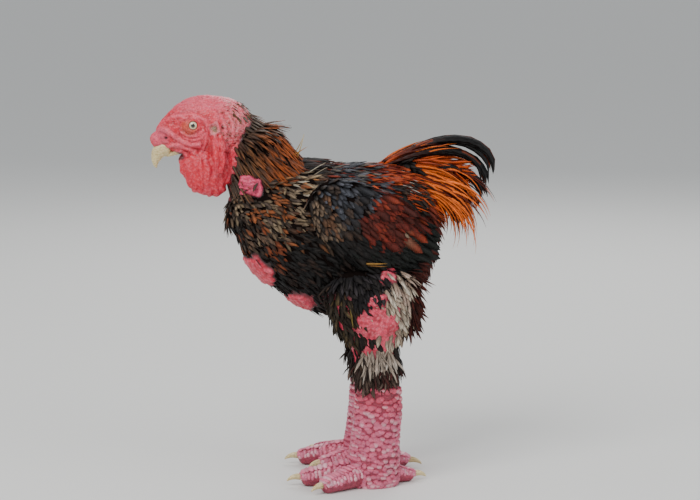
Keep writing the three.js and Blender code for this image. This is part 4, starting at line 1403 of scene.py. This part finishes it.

# %% [markdown]
# ## Scales
# The breed is known for its swollen scaly legs. Rounded knobs stand in rows round the shank, wide wavy
# scutes cross its front, and each toe has scutes on top and small scales at its sides. They are squashed
# balls half sunk in the skin, pale on top and red in the gaps, where the skin's own red is deepened as
# painted shade.


# %% Leg scales
def in_rows(form, rows, around, t_range, turns, seed, jitter=0.25, tile=0):
    """Roots in offset rows round a form, like roof tiles. `tile` is the form's strip of the unwrap."""
    rng = np.random.default_rng(seed)
    row, place_in_row = np.meshgrid(np.arange(rows), np.arange(around), indexing="ij")
    shift = row % 2 / 2 + rng.uniform(-jitter, jitter, row.shape)
    t = t_range[0] + (row + 0.5 + rng.uniform(-jitter, jitter, row.shape)) / rows * (t_range[1] - t_range[0])
    angle = np.radians(turns[0] + (place_in_row + shift) / around * (turns[1] - turns[0]))
    t, angle = t.ravel(), angle.ravel()
    uvs = np.stack([(tile + t) / (1 + len(TOES)), angle / (2 * math.pi) % 1], axis=1)
    return on_form(form, t, angle, COAT["shank"], uvs)


def scales(at, length, width, thick, seed):
    """Roots and sizes of squashed balls. The sizes given are in millimetres, and are varied by a fifth."""
    rng = np.random.default_rng(seed)
    count = len(at["t"])
    sizes = [value * rng.uniform(0.78, 1.22, count) * MM for value in (length, width, thick)]
    roots = at["roots"] - at["ways"] * (sizes[0] / 2)[:, None]
    return {**at, "roots": roots}, sizes


LOWEST_SCALE = 0.0045
knobs, knob_sizes = scales(in_rows(shank, 20, 25, (0.03, 0.97), (-50, 230), 81, 0.36), 8.4, 9.0, 3.6, 82)
scutes, scute_sizes = scales(in_rows(shank, 21, 6, (0.03, 0.97), (-138, -38), 83, 0.3), 7.6, 14.0, 2.6, 84)
sets = [(knobs, knob_sizes), (scutes, scute_sizes)]
for index, (name, form) in enumerate(toes.items()):
    wide = TOES[name]["thick"]
    on_top = in_rows(form, 11, 1, (0.05, 0.95), (-96, -90), 85 + index, 0.05, 1 + index)
    sets.append(scales(on_top, 8.6, 1.3 * wide, 2.2, 90 + index))
    for turns in ((-66, -6), (-174, -114)):
        beside = in_rows(form, 13, 4, (0.05, 0.97), turns, 95 + index, tile=1 + index)
        sets.append(scales(beside, 6.6, 0.42 * wide, 1.8, 99 + index))
at = both(*[one for one, _ in sets])
length, width, thick = (np.concatenate([sizes[k] for _, sizes in sets]) for k in range(3))
standing = at["roots"][:, 2] > LOWEST_SCALE
at = only(at, standing)
length, width, thick = (sizes[standing] for sizes in (length, width, thick))
high = ramp(at["roots"][:, 2], 0.085, 0.128)
count = len(length)
rng = np.random.default_rng(87)
base = between("b04862", "a8364a", high)
tip = between("d8708a", "cc5268", high)
tip = mix(tip, linear("ecbcc4"), (rng.random(count) < 0.22) * 0.6)
pair(
    "leg_scales", KNOB, at, length, width, varied(base, 0.1, 88), varied(tip, 0.18, 89),
    thick=thick, camber=0.0, outline=even, fade=(0.1, 0.6), seed=88, slot="leg_skin", material=SCALE,
)

# %% [markdown]
# ## Beak and claws
# Horn grows in layers, so its material has fine pale and darker lines along it. The beak is
# short and hooked down over a smaller lower half. Each claw is a bent cone rooted in its toe.


# %% Horn
def smooth_piece(name, mesh, material, slot, *nodes):
    piece = own_mesh(name, mesh)
    piece.data.polygons.foreach_set("use_smooth", np.ones(len(piece.data.polygons), bool))
    piece.data.materials.append(material)
    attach(piece, BODY)
    if nodes:
        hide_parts(*nodes)
    return piece


def set_stops(made, stops):
    """Gives a colour ramp its stops, each a position and a colour."""
    elements = made.color_ramp.elements
    for element, (position, colour) in zip(elements, (stops[0], stops[-1])):
        element.position = position
        element.color = (*linear(colour), 1)
    for position, colour in stops[1:-1]:
        elements.new(position).color = (*linear(colour), 1)


HORN, tree, surface = new_material("horn", 0.34, Subsurface_Weight=0.1, Subsurface_Scale=0.002)
where = node(tree, "TexCoord").outputs["Object"]
stretched = node(tree, "Mapping", Vector=where, Scale=(1, 1, 3.5))
layers = node(tree, "TexNoise", Vector=stretched.outputs[0], Scale=240.0, Detail=5.0, Roughness=0.65)
colours = node(tree, "ValToRGB", Fac=layers.outputs["Fac"])
set_stops(colours, [(0.3, "a8905c"), (0.68, "e6d6a4")])
uneven = node(tree, "Group", {"node_tree": mottle}, Color=colours.outputs["Color"], Scale=70.0, Amount=0.35)
tree.links.new(uneven.outputs["Color"], surface.inputs["Base Color"])
bumped(tree, surface, layers.outputs["Fac"], 0.0003, 0.35)

beak_upper = Form(
    [
        (-201, 0, 445, 10.5, 9.5),
        (-210, 0, 443.5, 11.3, 9),
        (-217.5, 0, 438, 9.4, 7.6),
        (-221.3, 0, 429.5, 6.4, 5.2),
        (-222, 0, 422.5, 3.4, 2.9),
        (-220.8, 0, 417.2, 1.0, 1.0),
    ],
    caps=(0.1, 0.08),
)
beak_lower = Form(
    [(-187, 0, 440, 3.6, 8.2), (-197, 0, 437.5, 3.8, 7), (-204.5, 0, 435, 3, 5), (-208.5, 0, 433, 1.5, 2.4)],
    caps=(0.1, 0.15),
)
beak = (("beak_top", beak_upper, 40, 48, "beak_upper"), ("beak_bottom", beak_lower, 32, 32, "beak_lower"))
for name, form, around, rings, replaced in beak:
    mesh = bmesh.new()
    form.add_to(mesh, around, rings)
    smooth_piece(name, mesh, HORN, "horn", replaced)

CLAW_LENGTH = 17
for name, sizes in TOES.items():
    ahead, across = toe_ahead(sizes["turn"])
    top = sizes["thick"] * 0.75
    rows = []
    shares = (-0.25, 0.1, 0.4, 0.7, 0.9, 1)
    for share, half, drop in zip(shares, (4.6, 4.3, 3.7, 2.6, 1.5, 0.6), (0, -0.7, -0.5, 1.2, 3.4, 5.2)):
        middle = FOOT + ahead * (sizes["reach"] + share * CLAW_LENGTH)
        rows.append((middle[0], middle[1], top - drop, half, half * 0.72))
    for side, flip in (("left", 1), ("right", -1)):
        turned = [(x, y * flip, z, high, wide) for x, y, z, high, wide in rows]
        mesh = bmesh.new()
        Form(turned, sideways=across * (1, flip, 1), caps=(0.15, 0.08)).add_to(mesh, 20, 24)
        bmesh.ops.recalc_face_normals(mesh, faces=mesh.faces)
        smooth_piece(f"claw_{name}_{side}_horn", mesh, HORN, "horn", f"claw_{name}_{side}")
print("beak and claws done")

# %% [markdown]
# ## Eyes
# The eye is a ball sunk behind the lid ring. Its colours depend on the distance from its axis: a black
# pupil, a pale cream iris with fine spokes and a dark rim. A clear coat gives it its wet shine.

# %% Eyes
IRIS_RADIUS = 0.006
IRIS_RIM = 0.86  # share of that radius where the dark rim begins
EYE_MATERIAL, tree, surface = new_material("eye", 0.08, Coat_Weight=1.0, Coat_Roughness=0.03)
where = node(tree, "TexCoord").outputs["Object"]
split = node(tree, "SeparateXYZ", Vector=where)
off_x = math_node(tree, "SUBTRACT", split.outputs["X"], EYE[0] * MM)
off_z = math_node(tree, "SUBTRACT", split.outputs["Z"], EYE[2] * MM)
square_x = math_node(tree, "MULTIPLY", off_x, off_x)
square_z = math_node(tree, "MULTIPLY", off_z, off_z)
far = math_node(tree, "SQRT", math_node(tree, "ADD", square_x, square_z))
far = math_node(tree, "DIVIDE", far, IRIS_RADIUS)
turn = math_node(tree, "ARCTAN2", off_z, off_x)
around = node(tree, "CombineXYZ", X=math_node(tree, "COSINE", turn), Y=math_node(tree, "SINE", turn), Z=far)
spokes = node(tree, "TexNoise", Vector=around.outputs[0], Scale=9.0, Detail=3.0)
swing = math_node(tree, "MULTIPLY", math_node(tree, "SUBTRACT", spokes.outputs["Fac"], 0.5), 0.22)
inside = math_node(tree, "LESS_THAN", far, IRIS_RIM)
iris = node(tree, "ValToRGB", Fac=math_node(tree, "ADD", far, math_node(tree, "MULTIPLY", swing, inside)))
set_stops(iris, [
    (0.0, "050404"), (0.37, "050404"), (0.43, "8a7448"), (0.52, "c9bb94"),
    (0.74, "d8cdb0"), (0.86, "8a6f4e"), (0.97, "2a1a14"),
])
tree.links.new(iris.outputs["Color"], surface.inputs["Base Color"])
for side, flip in (("left", 1), ("right", -1)):
    mesh = bmesh.new()
    middle = Vector((EYE[0], EYE[1] * flip, EYE[2])) * MM
    bmesh.ops.create_uvsphere(
        mesh, u_segments=40, v_segments=24, radius=EYE_RADIUS * MM, matrix=Matrix.Translation(middle)
    )
    smooth_piece("eyeball_" + side, mesh, EYE_MATERIAL, "eye", "eye_" + side)
print("eyes done")

# %% [markdown]
# ## Ear tufts and bristles
# Short pale bristles fill the ear's ring, and fine brown ones stand on the bare nape, where feathers
# thin out.


# %% Bristles
def bristles(name, spots_mm, lie, length, width, colours, seed, lift=0.5):
    """Hair-like feathers at skin points near the given (x, z) places on the left side of the head."""
    rng = np.random.default_rng(seed)
    found = [place(skull, x, z) for x, z in spots_mm]
    t, angle = (np.array(values) for values in zip(*found))
    roots, _, _ = on_skin(skull.skin(t, angle))
    outs = skull.facing(t, angle)
    at = {"roots": roots, "outs": outs, "ways": outs, "uvs": np.stack([t, angle / (2 * math.pi)], axis=1)}
    at = laid(at, np.array(lie, float), lift, 0.5, seed, sink=0.0008)
    picks = rng.integers(0, len(colours), len(t))
    colour = varied(np.array([linear(c) for c in colours])[picks], 0.2, seed + 1)
    sizes = length * rng.uniform(0.6, 1.3, len(t)) * MM
    at = both(at, mirrored(at))
    many(
        name, BLADE_4, at, np.tile(sizes, 2), width * MM, np.tile(colour, (2, 1)), np.tile(colour, (2, 1)),
        bend=0.35, outline=pointed, seed=seed + 2, thick=0.00025, slot="hackle", material=PLUME,
    )


rng = np.random.default_rng(101)
turn, far = rng.uniform(0, 2 * math.pi, 70), np.sqrt(rng.random(70)) * 4.6
ear_spots = list(zip(EAR[0] + far * np.cos(turn), EAR[1] + far * np.sin(turn)))
bristles("ear_tufts", ear_spots, (0.8, 0, -0.3), 6.0, 0.9, ("e0c0a4", "d4a88c", "ecd4b8"), 102, 0.6)
nape = list(zip(rng.uniform(-138, -102, 260), rng.uniform(446, 506, 260)))
browns = ("6b4a34", "8a5a3a", "3a2a20", "c9b8a0")
bristles("nape_bristles", nape, (0.8, 0, -0.35), 5.5, 0.8, browns, 105, 0.35)

# %% [markdown]
# ## The cape
# The hackle ends in a low tuft of long dark feathers, which stand off the back between the shoulders.

# %% Cape
CAPE = 70
rng = np.random.default_rng(131)
side = np.where(np.arange(CAPE) % 2, 1, -1)
sideways = side * rng.uniform(1, 26, CAPE)
backs = rng.uniform(-56, -22, CAPE)
heights = 427 - 0.012 * sideways**2 + rng.uniform(-4, 0, CAPE)
roots = np.stack([backs, sideways, heights], axis=1)
at = arcs(roots, rng.uniform(2, 16, CAPE), rng.uniform(0, 0.2, CAPE))
colours = np.array([linear(colour) for colour in ("1c1512", "241a16", "4a1c10", "6a2c14", "161211")])
many(
    "cape_feathers", BLADE_6, at, rng.uniform(0.028, 0.044, CAPE), rng.uniform(0.0045, 0.0065, CAPE),
    colours[rng.integers(0, 2, CAPE)], colours[rng.integers(0, len(colours), CAPE)],
    bend=0.35, rag=0.25, outline=pointed, pulls=FALL, seed=132, slot="hackle", material=PLUME, covers=False,
)

# %% [markdown]
# ## Filling the joins
# Where neck, body, wing and thigh melt together, no form's roots reach the skin. Points of the dark skin
# that have no root within a few millimetres get feathers of their own, so no bald seam is left.

# %% Filling feathers
GRID = 0.0046  # spacing of the tried points, in metres
ALONE = 0.0042  # a point further than this from every root is a gap
HOCK = 0.13  # below this height the leg is bare
tree = kdtree.KDTree(sum(len(roots) for roots in ALL_ROOTS))
for index, root in enumerate(np.concatenate(ALL_ROOTS)):
    tree.insert(root, index)
tree.balance()
spots = points_of(skin.data)
outs = normals_of(skin.data)
_, thinned = np.unique(np.floor(spots / GRID).astype(int), axis=0, return_index=True)
thinned = thinned[(tint[thinned].sum(axis=1) < DARK) & (spots[thinned, 2] > HOCK)]
open_skin = np.maximum(bareness(spots[thinned], BARE_BREAST), bareness(spots[thinned], BARE_THIGH)) > 0.35
gaps = np.array([i for i in thinned[~open_skin] if tree.find(spots[i])[2] > ALONE])
roots = spots[gaps]
around = np.arctan2(roots[:, 2] - 0.348, roots[:, 1]) / (2 * math.pi) % 1
uvs = np.stack([roots[:, 0] * 2 + 0.5, around], axis=1)
at = {"roots": roots, "outs": outs[gaps], "ways": outs[gaps], "uvs": uvs}
on_neck = ramp(-roots[:, 0], 0.04, 0.08) * ramp(roots[:, 2], 0.37, 0.4)
lie = np.stack([0.75 - 0.3 * on_neck, 0 * on_neck, -0.5 - 0.4 * on_neck], axis=1)
at = laid(at, lie, lift=0.2, stray=0.25, seed=121)
base, tip = pick(roots, BODY_ZONES, 122)
rng = np.random.default_rng(123)
length = rng.uniform(0.016, 0.026, len(gaps))
width = rng.uniform(0.0045, 0.0075, len(gaps))
many(
    "filling_feathers", BLADE_4, at, length, width, base, tip,
    bend=0.28, rag=0.4, seed=124, slot="body_feathers",
)

# %% [markdown]
# ## Stray quills
# The photo shows a few loose ones: straw-coloured quills sticking up behind the hackle, gold ones lying
# along the flank and a yellowish pin feather in front of the thigh.

# %% Quills
# Each quill: where it roots and the way it points, then length and width in millimetres, and its colour
QUILLS = [
    ((-40, -14, 430), (0.35, -0.1, 0.93), 32, 1.6, "e8c86a"),
    ((-42, -18, 432), (0.8, -0.1, 0.55), 24, 1.5, "d98a3a"),
    ((-44, -10, 434), (0.5, 0.1, 0.8), 26, 1.3, "c9a050"),
    ((-20, -40, 418), (0.8, -0.1, 0.6), 26, 1.8, "e0d4b8"),
    ((-14, -46, 414), (0.75, -0.1, 0.55), 22, 1.6, "cbbba0"),
    ((48, -84, 300), (1.0, -0.12, -0.05), 32, 3.6, "b8863c"),
    ((54, -84, 296), (1.0, -0.12, -0.12), 26, 3.0, "9a6a30"),
    ((34, -76, 240), (0.1, -0.25, -0.97), 26, 3.2, "8a7434"),
]
spots_mm, ways, long_mm, wide_mm, names = zip(*QUILLS)
QUILL_RISE = 0.003  # how far above the skin a quill starts
roots, outs, _ = on_skin([Vector(point) * MM for point in spots_mm])
ways = unit(np.array(ways))
outs = unit(outs - ways * np.sum(outs * ways, axis=1, keepdims=True))
uvs = np.array(spots_mm)[:, ::2] * MM + 0.5
at = {"roots": roots + outs * QUILL_RISE, "outs": outs, "ways": ways, "uvs": uvs}
colours = np.array([linear(colour) for colour in names])
many(
    "quills", BLADE_6, at, np.array(long_mm) * MM, np.array(wide_mm) * MM, colours * 0.6, colours,
    bend=0.25, outline=pointed, thick=0.0005, seed=111, slot="body_feathers", material=PLUME,
)
